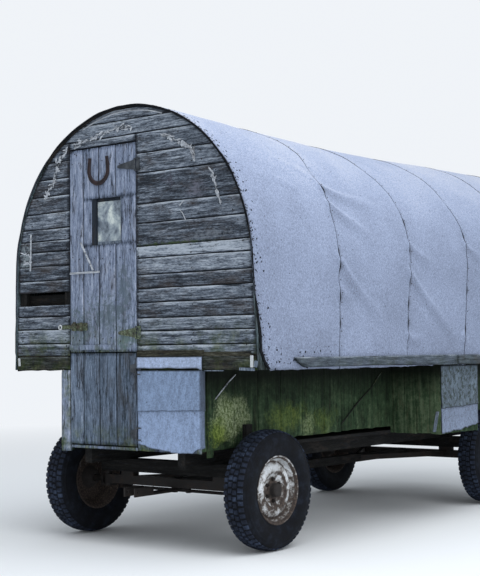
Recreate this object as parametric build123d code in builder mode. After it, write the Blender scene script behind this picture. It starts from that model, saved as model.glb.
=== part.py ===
"""Sheepherder's covered wagon: an arched, roofing-clad cabin with a plank end wall and a two-leaf door.

The cabin stands on a narrow lower box between rubber-tyred wheels, and its benches reach out over them.
X is across (+X is the wagon's left), Y runs from the door end to the back, Z is up from the ground.
All sizes are in millimetres.
"""

import math
import os

from build123d import *

os.makedirs("parts", exist_ok=True)

# Running clearances
TOUCH_GAP = 0.3
PIN_CLEARANCE = 0.3
DOOR_GAP = 7.0
BOARD_GAP = 3.0
GROOVE_WIDTH = 3.0
GROOVE_DEPTH = 6.0

# Tyres and wheels
TYRE_RADIUS = 383.0
TYRE_WIDTH = 185.0
TREAD_WIDTH = 132.0
BEAD_RADIUS = 206.0
BEAD_WIDTH = 138.0
RIM_FLANGE_RADIUS = 219.0
RIM_WELL_RADIUS = 182.0
DISC_THICKNESS = 6.0
HUB_RADIUS = 46.0
CAP_RADIUS = 44.0
CAP_REACH = 78.0
TRACK = 1580.0
WHEELBASE = 3020.0
FRONT_AXLE_SETBACK = 465.0

# Running gear
AXLE_BEAM = 60.0
AXLE_PAD_HEIGHT = 30.0
AXLE_PAD_WIDTH = 110.0
BOLSTER_HEIGHT = 87.0
BOLSTER_DEPTH = 96.0
STAKE_THICKNESS = 28.0
STAKE_WIDTH = 70.0
STAKE_HEIGHT = 262.0
FLOOR_SILL_HEIGHT = 100.0
FLOOR_SILL_WIDTH = 62.0
FLOOR_SILL_SPREAD = 820.0
FLOOR_SILL_SETBACK = 60.0
CENTRE_BOSS_RADIUS = 24.0
CENTRE_NUT_RADIUS = 20.0
REAR_BEAM_EXTRA = 60.0
KINGPIN_INSET = 170.0
KINGPIN_RADIUS = 11.0
KINGPIN_EYE_RADIUS = 26.0
KNUCKLE_EAR = 18.0
YOKE_WIDTH = 44.0
YOKE_WEB = 22.0
ARM_HALF = 16.0
SPINDLE_RADIUS = 20.0
SPINDLE_LENGTH = 215.0
SPINDLE_ROOT = 10.0
YOKE_GAP = 3.0
STEER_ARM = 140.0
STEER_BAR = 12.0
TIE_ROD_RADIUS = 11.0
REACH_WIDTH = 76.0
REACH_HEIGHT = 62.0
REACH_RISE = 5.0
BRACE_SIZE = 40.0
BRACE_ROOT = 64.0
HOUND_SPREAD = 420.0
HOUND_LENGTH = 720.0
TONGUE_PIN_RADIUS = 10.0
TONGUE_PIN_FORWARD = 420.0
JAW_GAP = 78.0
JAW_EAR = 12.0
JAW_NOSE = 28.0
JAW_LENGTH = 150.0
JAW_HEIGHT = 44.0
JAW_THROAT = 70.0
PIN_ABOVE_PLATE = 16.0
PLATE_WAIST = 45.0
PLATE_FLARE = 120.0
PLATE_TAIL = 30.0
ARM_END = 22.0
TIE_PIN_RADIUS = 8.0
TIE_EYE_RADIUS = 19.0
TIE_EYE_HEIGHT = 28.0
TIE_PIN_LENGTH = 40.0
TIE_PIN_HEAD = 2.0

# Lower box
BOX_WIDTH = 1220.0
BOX_DEPTH = 520.0
SIDE_BOARD = 20.0
FLOOR_BOARD = 22.0
POST = 60.0
PANEL_JOINT = 1593.0
ROTTED_FROM = 1000.0
ROTTED_DEPTH = 45.0
POST_DROP = 25.0
CORNER_BATTEN = 12.0
CORNER_BATTEN_START = 66.0
CORNER_BATTEN_WIDTH = 60.0
CORNER_BATTEN_DROP = 28.0

# Cabin
BODY_LENGTH = 4572.0
BODY_WIDTH = 2134.0
BENCH_FRAME_HEIGHT = 75.0
BENCH_RAIL = 38.0
JOIST_COUNT = 12
BENCH_BOARD = 20.0
CABIN_HEIGHT = 1635.0
WALL_LEAN = 2.15
ROOFING = 4.0
ROOF_DECK = 12.0
ROOF_OVERHANG = 26.0
LAP = 2.5
LAP_WIDTH = 50.0
BOW_DEPTH = 38.0
BOW_WIDTH = 50.0
SEAM_SPACING = 864.0
PLANK = 22.0
FRAME_DEPTH = 38.0
FRAME_WIDTH = 64.0

# Door in the front wall
DOOR_LEFT = -521.0
DOOR_WIDTH = 604.0
DOOR_TOP = 2633.0
DOOR_SPLIT = 1265.0
DOOR_THICKNESS = 30.0
WINDOW_LEFT = -316.0
WINDOW_WIDTH = 272.0
WINDOW_BOTTOM = 1979.0
WINDOW_HEIGHT = 311.0
GLASS = 4.0
DOOR_JOINTS = [124.0, 271.0, 423.0]
LEDGE_HEIGHT = 90.0
LEDGE_DEPTH = 20.0
LEDGE_INSET = 40.0
UPPER_LEDGES = [1300.0, 1860.0, 2480.0]
LOWER_LEDGES = [700.0, 1130.0]
HINGE_BARREL = 7.0
HINGE_PIN = 3.0
HINGE_LUG = 8.0
LUG_GAP = 1.0
STRAP = 4.0

# Door hinges
UPPER_HINGES = [2483.0, 1391.0]
LOWER_HINGES = [1160.0, 740.0]
HINGE_HEIGHT = 66.0
HINGE_PLATE = 84.0
HINGE_PLATE_REACH = 40.0
PIN_STANDOFF = 8.0
UPPER_STRAP = 154.0
LOWER_STRAP = 52.0
UPPER_STRAP_TIP = 10.0
LOWER_STRAP_TIP = 44.0

# Iron fittings on the door: a horseshoe, open end up, and the latch bar that reaches over the door's edge
SHOE_X = -245.0
SHOE_Z = 2477.0
SHOE_RADIUS = 100.0
SHOE_WEB = 27.0
SHOE_TIP_WEB = 19.0
SHOE_TIP_SPREAD = 90.0
SHOE_ARM = 88.0
SHOE_THICKNESS = 9.0
LATCH_LEFT = -600.0
LATCH_RIGHT = -352.0
LATCH_BOTTOM = 1425.0
LATCH_HEIGHT = 26.0
LATCH_BAR = 7.0
LATCH_PLATE = 9.0
LATCH_PLATE_LEFT = -500.0
LATCH_PLATE_MARGIN = 12.0
LATCH_RING = 17.0

# Storage boxes under the benches, between the axles
STORE_START = 2290.0
STORE_LENGTH = 590.0
STORE_REACH = 415.0
HATCH_MARGIN = 60.0

# Heights that stack up from the ground
AXLE_Z = TYRE_RADIUS
BEAM_TOP = AXLE_Z + AXLE_BEAM / 2
BOLSTER_BOTTOM = BEAM_TOP + AXLE_PAD_HEIGHT
BOLSTER_TOP = BOLSTER_BOTTOM + BOLSTER_HEIGHT
BOX_BOTTOM = BOLSTER_TOP + FLOOR_SILL_HEIGHT
FLOOR_TOP = BOX_BOTTOM + FLOOR_BOARD
BENCH_BOTTOM = BOX_BOTTOM + BOX_DEPTH
BENCH_DECK = BENCH_BOTTOM + BENCH_FRAME_HEIGHT
WALL_BOTTOM = BENCH_DECK + BENCH_BOARD
CROWN = WALL_BOTTOM + CABIN_HEIGHT

# Places along the wagon
FRONT = -BODY_LENGTH / 2
BACK = BODY_LENGTH / 2
FRONT_AXLE_Y = FRONT + FRONT_AXLE_SETBACK
REAR_AXLE_Y = FRONT_AXLE_Y + WHEELBASE
WHEEL_X = TRACK / 2
KINGPIN_X = WHEEL_X - KINGPIN_INSET
BOX_HALF = BOX_WIDTH / 2
DOOR_RIGHT = DOOR_LEFT + DOOR_WIDTH
HINGE_X = DOOR_RIGHT + DOOR_GAP / 2
HINGE_Y = FRONT - PIN_STANDOFF
BENCH_OUT = BODY_WIDTH / 2 - ROOFING - ROOF_DECK - 1

# The roof's arc, tangent to side walls that lean outwards towards the eave
LEAN = math.radians(WALL_LEAN)
ARCH_RADIUS = (BODY_WIDTH / 2 * math.cos(LEAN) - CABIN_HEIGHT * math.sin(LEAN)) / (1 - math.sin(LEAN))
ARCH_CENTRE = CROWN - ARCH_RADIUS

# How far the old roof has sagged: distance back from the front wall, drop of the crown
ROOF_SAG = [(1, 30.0), (2, 50.0), (3, 44.0), (4, 15.0), (5, 0.0)]

# Where the front edges have weathered back above the eaves: distance behind the front wall, height
FELT_EDGE = [(-27, 1800), (-10, 1650), (20, 1504), (46, 1355), (44, 1276), (72, 1206), (121, 1155)]
DECK_EDGE = [(-27, 1950), (-8, 1750), (0, 1600)]

# Upper edges of the plank courses above the wall's foot
RIGHT_COURSES = [66, 156, 240, 340, 430, 519, 627, 704, 852, 978, 1180, 1310, 1444]
LEFT_COURSES = [86, 183, 272, 351, 437, 520, 620, 717, 793, 876, 985, 1100, 1215, 1330, 1444]
MISSING_COURSE = 4
TOP_COURSES = [1545, CABIN_HEIGHT]
BACK_COURSES = [100, 200, 300, 400, 500, 600, 700, 840, 980, 1130, 1290, 1444, CABIN_HEIGHT]


def across_plane(y):
    """A drawing plane that stands across the wagon at y, with sketch X across and sketch Y up."""
    return Plane(origin=(0, y, 0), x_dir=(1, 0, 0), z_dir=(0, -1, 0))


def arch_face(y, inset, drop=0.0, foot=BENCH_BOTTOM):
    """The cabin's cross-section, moved in by inset, with its crown lowered by drop."""
    radius = ARCH_RADIUS - inset
    spring_x = radius * math.cos(LEAN)
    spring_z = ARCH_CENTRE + radius * math.sin(LEAN)
    foot_x = spring_x + (spring_z - foot) * math.tan(LEAN)
    with BuildSketch(across_plane(y)) as section:
        with BuildLine():
            Line((foot_x, foot), (spring_x, spring_z))
            ThreePointArc((spring_x, spring_z), (0, CROWN - inset - drop), (-spring_x, spring_z))
            Line((-spring_x, spring_z), (-foot_x, foot))
            Line((-foot_x, foot), (foot_x, foot))
        make_face()
    return section.sketch.face()


def arch_prism(y, depth, inset, drop=0.0, foot=BENCH_BOTTOM):
    """The cross-section extruded backwards by depth."""
    with BuildPart() as prism:
        extrude(arch_face(y, inset, drop, foot), amount=-depth)
    return prism.part


def roof_stations():
    """Distances along the roof with the crown's drop there, level under each bow."""
    stations = [(FRONT - ROOF_OVERHANG, 0.0), (FRONT + PLANK + FRAME_DEPTH, 0.0)]
    for number, drop in ROOF_SAG:
        seam = FRONT + number * SEAM_SPACING
        stations += [(seam - BOW_WIDTH / 2, drop), (seam + BOW_WIDTH / 2, drop)]
    stations += [(BACK - PLANK - FRAME_DEPTH, 0.0), (BACK + ROOF_OVERHANG, 0.0)]
    return stations


def sagged_arch(inset, foot=BENCH_BOTTOM):
    """The whole length of the roof as one solid, moved in by inset."""
    with BuildPart() as arch:
        loft(sections=[arch_face(y, inset, drop, foot) for y, drop in roof_stations()], ruled=True)
    return arch.part


def box(low, high, mode=Mode.ADD):
    """A rectangular block between two corners, placed in the active part."""
    size = [h - l for l, h in zip(low, high)]
    with Locations([(low[0], low[1], low[2])]):
        Box(*size, align=(Align.MIN, Align.MIN, Align.MIN), mode=mode)


def courses(edges, foot, left, right, y, missing=None):
    """Horizontal boards between the course edges, as separate blocks with gaps between them."""
    low = foot
    for number, edge in enumerate(edges):
        high = WALL_BOTTOM + edge
        if number != missing:
            box((left, y, low), (right, y + PLANK, high - BOARD_GAP))
        low = high


def weather_back(edge):
    """Cut both front corners of the active part back to an edge that runs down to the eaves."""
    ahead = FRONT - 2 * ROOF_OVERHANG
    below = BENCH_BOTTOM - 1
    line = [(FRONT + behind, z) for behind, z in edge]
    with BuildSketch(Plane(origin=(-BODY_WIDTH, 0, 0), x_dir=(0, 1, 0), z_dir=(1, 0, 0))) as corner:
        with BuildLine():
            Polyline((ahead, line[0][1]), *line, (line[-1][0], below), (ahead, below), close=True)
        make_face()
    extrude(corner.sketch, amount=2 * BODY_WIDTH, mode=Mode.SUBTRACT)


def save(part, name):
    """Label a finished piece and write it to its own file."""
    part.label = name
    export_step(part, f"parts/{name}.step")


# Bench frames: rails with joists between them, reaching out over the wheels on each side
BODY_START = FRONT + PLANK
BODY_END = BACK - PLANK
JOIST_PITCH = (BODY_END - BODY_START - BENCH_RAIL) / (JOIST_COUNT - 1)
with BuildPart() as bench_frames:
    for side in (-1, 1):
        for rail in (BOX_HALF, BENCH_OUT - BENCH_RAIL):
            xs = sorted((side * rail, side * (rail + BENCH_RAIL)))
            box((xs[0], BODY_START, BENCH_BOTTOM), (xs[1], BODY_END, BENCH_DECK))
        near = BOX_HALF + BENCH_RAIL + TOUCH_GAP
        far = BENCH_OUT - BENCH_RAIL - TOUCH_GAP
        xs = sorted((side * near, side * far))
        for number in range(JOIST_COUNT):
            y = BODY_START + number * JOIST_PITCH
            box((xs[0], y, BENCH_BOTTOM), (xs[1], y + BENCH_RAIL, BENCH_DECK))
save(bench_frames.part, "bench_frames")

with BuildPart() as bench_decks:
    for side in (-1, 1):
        xs = sorted((side * (BOX_HALF - SIDE_BOARD), side * BENCH_OUT))
        box((xs[0], BODY_START, BENCH_DECK), (xs[1], BODY_END, WALL_BOTTOM))
save(bench_decks.part, "bench_decks")

# Lower box sides, rotted along part of their foot, each with a hatch into the storage box outside it
with BuildPart() as box_sides:
    for side in (-1, 1):
        xs = sorted((side * (BOX_HALF - SIDE_BOARD), side * BOX_HALF))
        box((xs[0], BODY_START, BOX_BOTTOM), (xs[1], BODY_END, BENCH_DECK))
        hatch_start = FRONT + STORE_START + HATCH_MARGIN
        hatch_end = FRONT + STORE_START + STORE_LENGTH - HATCH_MARGIN
        low = (xs[0] - 1, hatch_start, FLOOR_TOP + HATCH_MARGIN)
        box(low, (xs[1] + 1, hatch_end, BENCH_BOTTOM - HATCH_MARGIN), Mode.SUBTRACT)
        low = (xs[0] - 1, FRONT + ROTTED_FROM, BOX_BOTTOM - 1)
        box(low, (xs[1] + 1, FRONT + STORE_START, BOX_BOTTOM + ROTTED_DEPTH), Mode.SUBTRACT)
        joint = FRONT + PANEL_JOINT
        outside = sorted((side * (BOX_HALF - GROOVE_DEPTH), side * (BOX_HALF + 1)))
        low = (outside[0], joint - GROOVE_WIDTH / 2, BOX_BOTTOM - 1)
        box(low, (outside[1], joint + GROOVE_WIDTH / 2, BENCH_BOTTOM), Mode.SUBTRACT)
save(box_sides.part, "box_sides")

# Corner posts inside the lower box's ends
with BuildPart() as corner_posts:
    for side in (-1, 1):
        outer = BOX_HALF - SIDE_BOARD - TOUCH_GAP
        xs = sorted((side * (outer - POST), side * outer))
        for y in (BODY_START, BODY_END - POST):
            box((xs[0], y, FLOOR_TOP), (xs[1], y + POST, BENCH_DECK))
save(corner_posts.part, "corner_posts")

# Battens outside the box's front corners, a little longer than the sides are high
with BuildPart() as corner_battens:
    for side in (-1, 1):
        near = BOX_HALF + TOUCH_GAP
        xs = sorted((side * near, side * (near + CORNER_BATTEN)))
        start = FRONT + CORNER_BATTEN_START
        foot = BOX_BOTTOM - CORNER_BATTEN_DROP
        box((xs[0], start, foot), (xs[1], start + CORNER_BATTEN_WIDTH, BENCH_BOTTOM - TOUCH_GAP))
save(corner_battens.part, "corner_battens")

# Lower box floor
with BuildPart() as box_floor:
    inner = BOX_HALF - SIDE_BOARD - TOUCH_GAP
    box((-inner, BODY_START, BOX_BOTTOM), (inner, BODY_END, FLOOR_TOP))
save(box_floor.part, "box_floor")

# Two long floor sills that rest on the bolsters
with BuildPart() as floor_sills:
    for side in (-1, 1):
        centre = side * FLOOR_SILL_SPREAD / 2
        box(
            (centre - FLOOR_SILL_WIDTH / 2, FRONT + FLOOR_SILL_SETBACK, BOLSTER_TOP),
            (centre + FLOOR_SILL_WIDTH / 2, BACK - FLOOR_SILL_SETBACK, BOX_BOTTOM),
        )
save(floor_sills.part, "floor_sills")

# Boards that close the lower box's front on both sides of the door
with BuildPart() as box_front_boards:
    box((-BOX_HALF, FRONT, BOX_BOTTOM - POST_DROP), (DOOR_LEFT - DOOR_GAP, FRONT + PLANK, BENCH_BOTTOM))
    box((DOOR_RIGHT + DOOR_GAP, FRONT, BOX_BOTTOM), (BOX_HALF, FRONT + PLANK, BENCH_BOTTOM))
    box((DOOR_LEFT, FRONT, BOX_BOTTOM), (DOOR_RIGHT, FRONT + PLANK, FLOOR_TOP))
save(box_front_boards.part, "box_front_boards")

with BuildPart() as box_back_boards:
    box((-BOX_HALF, BACK - PLANK, BOX_BOTTOM), (BOX_HALF, BACK, BENCH_BOTTOM))
save(box_back_boards.part, "box_back_boards")

# Sill boards across the front ends of the benches, and one across the back
with BuildPart() as sill_boards:
    top = WALL_BOTTOM - BOARD_GAP
    box((-BENCH_OUT, FRONT, BENCH_BOTTOM), (DOOR_LEFT - DOOR_GAP, FRONT + PLANK, top))
    box((DOOR_RIGHT + DOOR_GAP, FRONT, BENCH_BOTTOM), (BENCH_OUT, FRONT + PLANK, top))
    box((-BENCH_OUT, BACK - PLANK, BENCH_BOTTOM), (BENCH_OUT, BACK, top))
save(sill_boards.part, "sill_boards")

# Plank end walls, cut to the inside of the roof deck
WALL_INSET = ROOFING + ROOF_DECK + TOUCH_GAP
front_arch = arch_prism(FRONT - 1, PLANK + 2, WALL_INSET)
back_arch = arch_prism(BACK - PLANK - 1, PLANK + 2, WALL_INSET)

with BuildPart() as front_planks_left:
    courses(LEFT_COURSES, WALL_BOTTOM, -BENCH_OUT, DOOR_LEFT - DOOR_GAP, FRONT, MISSING_COURSE)
    add(front_arch, mode=Mode.INTERSECT)
save(front_planks_left.part, "front_planks_left")

with BuildPart() as front_planks_right:
    courses(RIGHT_COURSES, WALL_BOTTOM, DOOR_RIGHT + DOOR_GAP, BENCH_OUT, FRONT)
    add(front_arch, mode=Mode.INTERSECT)
save(front_planks_right.part, "front_planks_right")

with BuildPart() as front_planks_top:
    foot = WALL_BOTTOM + RIGHT_COURSES[-1]
    courses(TOP_COURSES, foot, -BENCH_OUT, BENCH_OUT, FRONT)
    box((DOOR_LEFT, FRONT, DOOR_TOP + DOOR_GAP), (DOOR_RIGHT, FRONT + PLANK, foot - BOARD_GAP))
    add(front_arch, mode=Mode.INTERSECT)
save(front_planks_top.part, "front_planks_top")

# Back window, above the bed end of the cabin
BACK_WINDOW_WIDTH = 560.0
BACK_WINDOW_HEIGHT = 380.0
BACK_WINDOW_BOTTOM = WALL_BOTTOM + 560.0
with BuildPart() as back_planks:
    courses(BACK_COURSES, WALL_BOTTOM, -BENCH_OUT, BENCH_OUT, BACK - PLANK)
    add(back_arch, mode=Mode.INTERSECT)
    with Locations([(0, BACK - PLANK / 2, BACK_WINDOW_BOTTOM + BACK_WINDOW_HEIGHT / 2)]):
        Box(BACK_WINDOW_WIDTH, PLANK * 3, BACK_WINDOW_HEIGHT, mode=Mode.SUBTRACT)
save(back_planks.part, "back_planks")

SASH = 45.0
SASH_PROUD = 4.0
with BuildPart() as back_window_frame:
    with Locations([(0, BACK - PLANK / 2, BACK_WINDOW_BOTTOM + BACK_WINDOW_HEIGHT / 2)]):
        Box(BACK_WINDOW_WIDTH - 2 * TOUCH_GAP, PLANK + 2 * SASH_PROUD, BACK_WINDOW_HEIGHT - 2 * TOUCH_GAP)
        with GridLocations((BACK_WINDOW_WIDTH - SASH) / 2, 0, 2, 1):
            Box(
                (BACK_WINDOW_WIDTH - 3 * SASH) / 2,
                PLANK * 3,
                BACK_WINDOW_HEIGHT - 2 * SASH,
                mode=Mode.SUBTRACT,
            )
save(back_window_frame.part, "back_window_frame")

with BuildPart() as back_window_glass:
    with Locations([(0, BACK - PLANK / 2, BACK_WINDOW_BOTTOM + BACK_WINDOW_HEIGHT / 2)]):
        with GridLocations((BACK_WINDOW_WIDTH - SASH) / 2, 0, 2, 1):
            Box((BACK_WINDOW_WIDTH - 3 * SASH) / 2, GLASS, BACK_WINDOW_HEIGHT - 2 * SASH)
save(back_window_glass.part, "back_window_glass")


def wall_frame(y, posts):
    """Arched rib with uprights, standing just behind the planks at y."""
    outline = arch_prism(y, FRAME_DEPTH, WALL_INSET, foot=WALL_BOTTOM)
    with BuildPart() as uprights:
        for left in posts:
            box((left, y, WALL_BOTTOM), (left + FRAME_WIDTH, y + FRAME_DEPTH, CROWN))
        add(outline, mode=Mode.INTERSECT)
    with BuildPart() as frame:
        add(outline)
        inside = arch_prism(y - 1, FRAME_DEPTH + 2, WALL_INSET + FRAME_WIDTH, foot=WALL_BOTTOM - 10)
        add(inside, mode=Mode.SUBTRACT)
        add(uprights.part)
    return frame.part


FRONT_FRAME_Y = FRONT + PLANK + TOUCH_GAP
front_wall_frame = wall_frame(
    FRONT_FRAME_Y, [DOOR_LEFT - DOOR_GAP - FRAME_WIDTH, DOOR_RIGHT + DOOR_GAP]
)
save(front_wall_frame, "front_wall_frame")

BACK_FRAME_Y = BACK - PLANK - TOUCH_GAP - FRAME_DEPTH
back_wall_frame = wall_frame(
    BACK_FRAME_Y, [-BACK_WINDOW_WIDTH / 2 - FRAME_WIDTH, BACK_WINDOW_WIDTH / 2]
)
save(back_wall_frame, "back_wall_frame")

# Bent bows under the roof, one at each seam, standing on the benches
with BuildPart() as roof_bows:
    for number, drop in ROOF_SAG:
        y = FRONT + number * SEAM_SPACING - BOW_WIDTH / 2
        if y + BOW_WIDTH < BACK_FRAME_Y:
            add(arch_prism(y, BOW_WIDTH, WALL_INSET, drop, foot=WALL_BOTTOM))
            inner = arch_prism(y - 1, BOW_WIDTH + 2, WALL_INSET + BOW_DEPTH, drop, foot=WALL_BOTTOM - 10)
            add(inner, mode=Mode.SUBTRACT)
save(roof_bows.part, "roof_bows")

# Roof deck and the roofing over it
with BuildPart() as roof_deck:
    add(sagged_arch(ROOFING))
    add(sagged_arch(ROOFING + ROOF_DECK, foot=BENCH_BOTTOM - 10), mode=Mode.SUBTRACT)
    weather_back(DECK_EDGE)
save(roof_deck.part, "roof_deck")

with BuildPart() as roofing:
    add(sagged_arch(0))
    for number, drop in ROOF_SAG:
        y = FRONT + number * SEAM_SPACING - LAP_WIDTH / 2
        add(arch_prism(y, LAP_WIDTH, -LAP, drop))
    add(sagged_arch(ROOFING, foot=BENCH_BOTTOM - 10), mode=Mode.SUBTRACT)
    weather_back(FELT_EDGE)
save(roofing.part, "roofing")

# Eave battens that hold the roofing's lower edges
BATTEN_HEIGHT = 80.0
BATTEN_THICKNESS = 22.0
BATTEN_START = 355.0
BATTEN_DROP = 8.0
BATTEN_BREAK = 110.0
BREAK_STEP = 33.0
BREAK_STEP_HEIGHT = 36.0
with BuildPart() as eave_battens:
    face = ARCH_RADIUS / math.cos(LEAN) + (ARCH_CENTRE - BENCH_BOTTOM) * math.tan(LEAN) + TOUCH_GAP + LAP
    foot = BENCH_BOTTOM - BATTEN_DROP
    start = FRONT + BATTEN_START
    for side in (-1, 1):
        with BuildSketch(Plane(origin=(side * face, 0, 0), x_dir=(0, 1, 0), z_dir=(1, 0, 0))):
            with BuildLine():
                Polyline(
                    (start, foot + BATTEN_HEIGHT),
                    (start + BREAK_STEP, foot + BREAK_STEP_HEIGHT),
                    (start + BATTEN_BREAK, foot),
                    (BACK, foot),
                    (BACK, foot + BATTEN_HEIGHT),
                    close=True,
                )
            make_face()
        extrude(amount=side * BATTEN_THICKNESS)
save(eave_battens.part, "eave_battens")

# Storage boxes under the benches, open inside
STORE_WALL = 20.0
with BuildPart() as storage_boxes:
    for side in (-1, 1):
        near = BOX_HALF + TOUCH_GAP
        far = BOX_HALF + STORE_REACH
        y0, y1 = FRONT + STORE_START, FRONT + STORE_START + STORE_LENGTH
        top = BENCH_BOTTOM - TOUCH_GAP
        xs = sorted((side * near, side * far))
        box((xs[0], y0, BOX_BOTTOM), (xs[1], y1, top))
        hollow = sorted((side * near, side * (far - STORE_WALL)))
        with Locations([(sum(hollow) / 2, (y0 + y1) / 2, (BOX_BOTTOM + STORE_WALL + top) / 2)]):
            Box(
                hollow[1] - hollow[0],
                y1 - y0 - 2 * STORE_WALL,
                top - BOX_BOTTOM - STORE_WALL,
                mode=Mode.SUBTRACT,
            )
save(storage_boxes.part, "storage_boxes")

# Roofing sheet tacked on the front panel and on the storage boxes' outer faces
SHEET = 3.0
STORE_SHEET_RISE = 5.0
FRONT_SHEET_RISE = 20.0
FRONT_SHEET_SHORT = 12.0
NOTCH_MARGIN = 3.0
with BuildPart() as side_cladding:
    for side in (-1, 1):
        face = BOX_HALF + STORE_REACH
        xs = sorted((side * face, side * (face + SHEET)))
        y0, y1 = FRONT + STORE_START, FRONT + STORE_START + STORE_LENGTH
        box((xs[0], y0, BOX_BOTTOM + STORE_SHEET_RISE), (xs[1], y1, BENCH_BOTTOM - TOUCH_GAP))
save(side_cladding.part, "side_cladding")

with BuildPart() as front_cladding:
    box(
        (DOOR_RIGHT + 2 * DOOR_GAP, FRONT - SHEET, BOX_BOTTOM + FRONT_SHEET_RISE),
        (BOX_HALF, FRONT, WALL_BOTTOM - FRONT_SHEET_SHORT),
    )
    for z in LOWER_HINGES:
        half = HINGE_PLATE / 2 + NOTCH_MARGIN
        right = HINGE_X + HINGE_PLATE_REACH + NOTCH_MARGIN
        box((HINGE_X, FRONT - 2 * SHEET, z - half), (right, FRONT, z + half), Mode.SUBTRACT)
save(front_cladding.part, "front_cladding")


def door_leaf(bottom, top, ledges):
    """Upright boards with open joints outside and ledges across their inner face."""
    box((DOOR_LEFT, FRONT, bottom), (DOOR_RIGHT, FRONT + DOOR_THICKNESS, top))
    for joint in DOOR_JOINTS:
        x = DOOR_LEFT + joint
        low = (x - GROOVE_WIDTH / 2, FRONT - 1, bottom - 1)
        box(low, (x + GROOVE_WIDTH / 2, FRONT + GROOVE_DEPTH, top + 1), Mode.SUBTRACT)
    back = FRONT + DOOR_THICKNESS
    for z in ledges:
        right = DOOR_RIGHT - LEDGE_INSET
        box((DOOR_LEFT + LEDGE_INSET, back, z), (right, back + LEDGE_DEPTH, z + LEDGE_HEIGHT))


with BuildPart() as door_upper_leaf:
    door_leaf(DOOR_SPLIT + DOOR_GAP / 2, DOOR_TOP, UPPER_LEDGES)
    box(
        (WINDOW_LEFT, FRONT - 1, WINDOW_BOTTOM),
        (WINDOW_LEFT + WINDOW_WIDTH, FRONT + DOOR_THICKNESS + 1, WINDOW_BOTTOM + WINDOW_HEIGHT),
        Mode.SUBTRACT,
    )
save(door_upper_leaf.part, "door_upper_leaf")

CASING = 22.0
CASING_SETBACK = 18.0
GLASS_SETBACK = 23.0
with BuildPart() as door_window_frame:
    x0, x1 = WINDOW_LEFT + TOUCH_GAP, WINDOW_LEFT + WINDOW_WIDTH - TOUCH_GAP
    z0, z1 = WINDOW_BOTTOM + TOUCH_GAP, WINDOW_BOTTOM + WINDOW_HEIGHT - TOUCH_GAP
    box((x0, FRONT + CASING_SETBACK, z0), (x1, FRONT + DOOR_THICKNESS, z1))
    back = FRONT + DOOR_THICKNESS + 1
    box((x0 + CASING, FRONT, z0 + CASING), (x1 - CASING, back, z1 - CASING), Mode.SUBTRACT)
save(door_window_frame.part, "door_window_frame")

with BuildPart() as door_window_glass:
    y = FRONT + GLASS_SETBACK
    box((x0 + CASING, y, z0 + CASING), (x1 - CASING, y + GLASS, z1 - CASING))
save(door_window_glass.part, "door_window_glass")

with BuildPart() as door_lower_leaf:
    door_leaf(FLOOR_TOP + DOOR_GAP, DOOR_SPLIT - DOOR_GAP / 2, LOWER_LEDGES)
save(door_lower_leaf.part, "door_lower_leaf")

# Strap hinges: a tapered strap on the leaf and a barrel on the hinge line

def strap_hinge(z, length, tip):
    """One tapered strap on the door's face, with its barrel at the hinge line."""
    with BuildSketch(across_plane(FRONT)) as outline:
        with BuildLine():
            Polyline(
                (HINGE_X, z - HINGE_HEIGHT / 2),
                (HINGE_X, z + HINGE_HEIGHT / 2),
                (HINGE_X - length, z + tip / 2),
                (HINGE_X - length, z - tip / 2),
                close=True,
            )
        make_face()
    extrude(outline.sketch, amount=STRAP)
    with Locations([(HINGE_X, HINGE_Y, z)]):
        Cylinder(HINGE_BARREL, HINGE_HEIGHT)
        Cylinder(HINGE_PIN + PIN_CLEARANCE, HINGE_HEIGHT + 2, mode=Mode.SUBTRACT)


with BuildPart() as door_upper_hinges:
    for z in UPPER_HINGES:
        strap_hinge(z, UPPER_STRAP, UPPER_STRAP_TIP)
save(door_upper_hinges.part, "door_upper_hinges")

with BuildPart() as door_lower_hinges:
    for z in LOWER_HINGES:
        strap_hinge(z, LOWER_STRAP, LOWER_STRAP_TIP)
save(door_lower_hinges.part, "door_lower_hinges")

# Hinge pins with the leaves that are nailed to the door post
with BuildPart() as hinge_posts:
    for z in UPPER_HINGES + LOWER_HINGES:
        with Locations([(HINGE_X, HINGE_Y, z)]):
            Cylinder(HINGE_PIN, HINGE_HEIGHT + 2 * HINGE_LUG)
        reach = HINGE_X + HINGE_PLATE_REACH
        for end in (-1, 1):
            lug = z + end * (HINGE_HEIGHT / 2 + HINGE_LUG / 2 + LUG_GAP)
            low = (HINGE_X - HINGE_PIN, HINGE_Y - HINGE_PIN, lug - HINGE_LUG / 2)
            box(low, (reach, FRONT - STRAP, lug + HINGE_LUG / 2))
        low = (HINGE_X + HINGE_BARREL + STRAP, FRONT - STRAP, z - HINGE_PLATE / 2)
        box(low, (reach, FRONT, z + HINGE_PLATE / 2))
save(hinge_posts.part, "hinge_posts")

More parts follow.
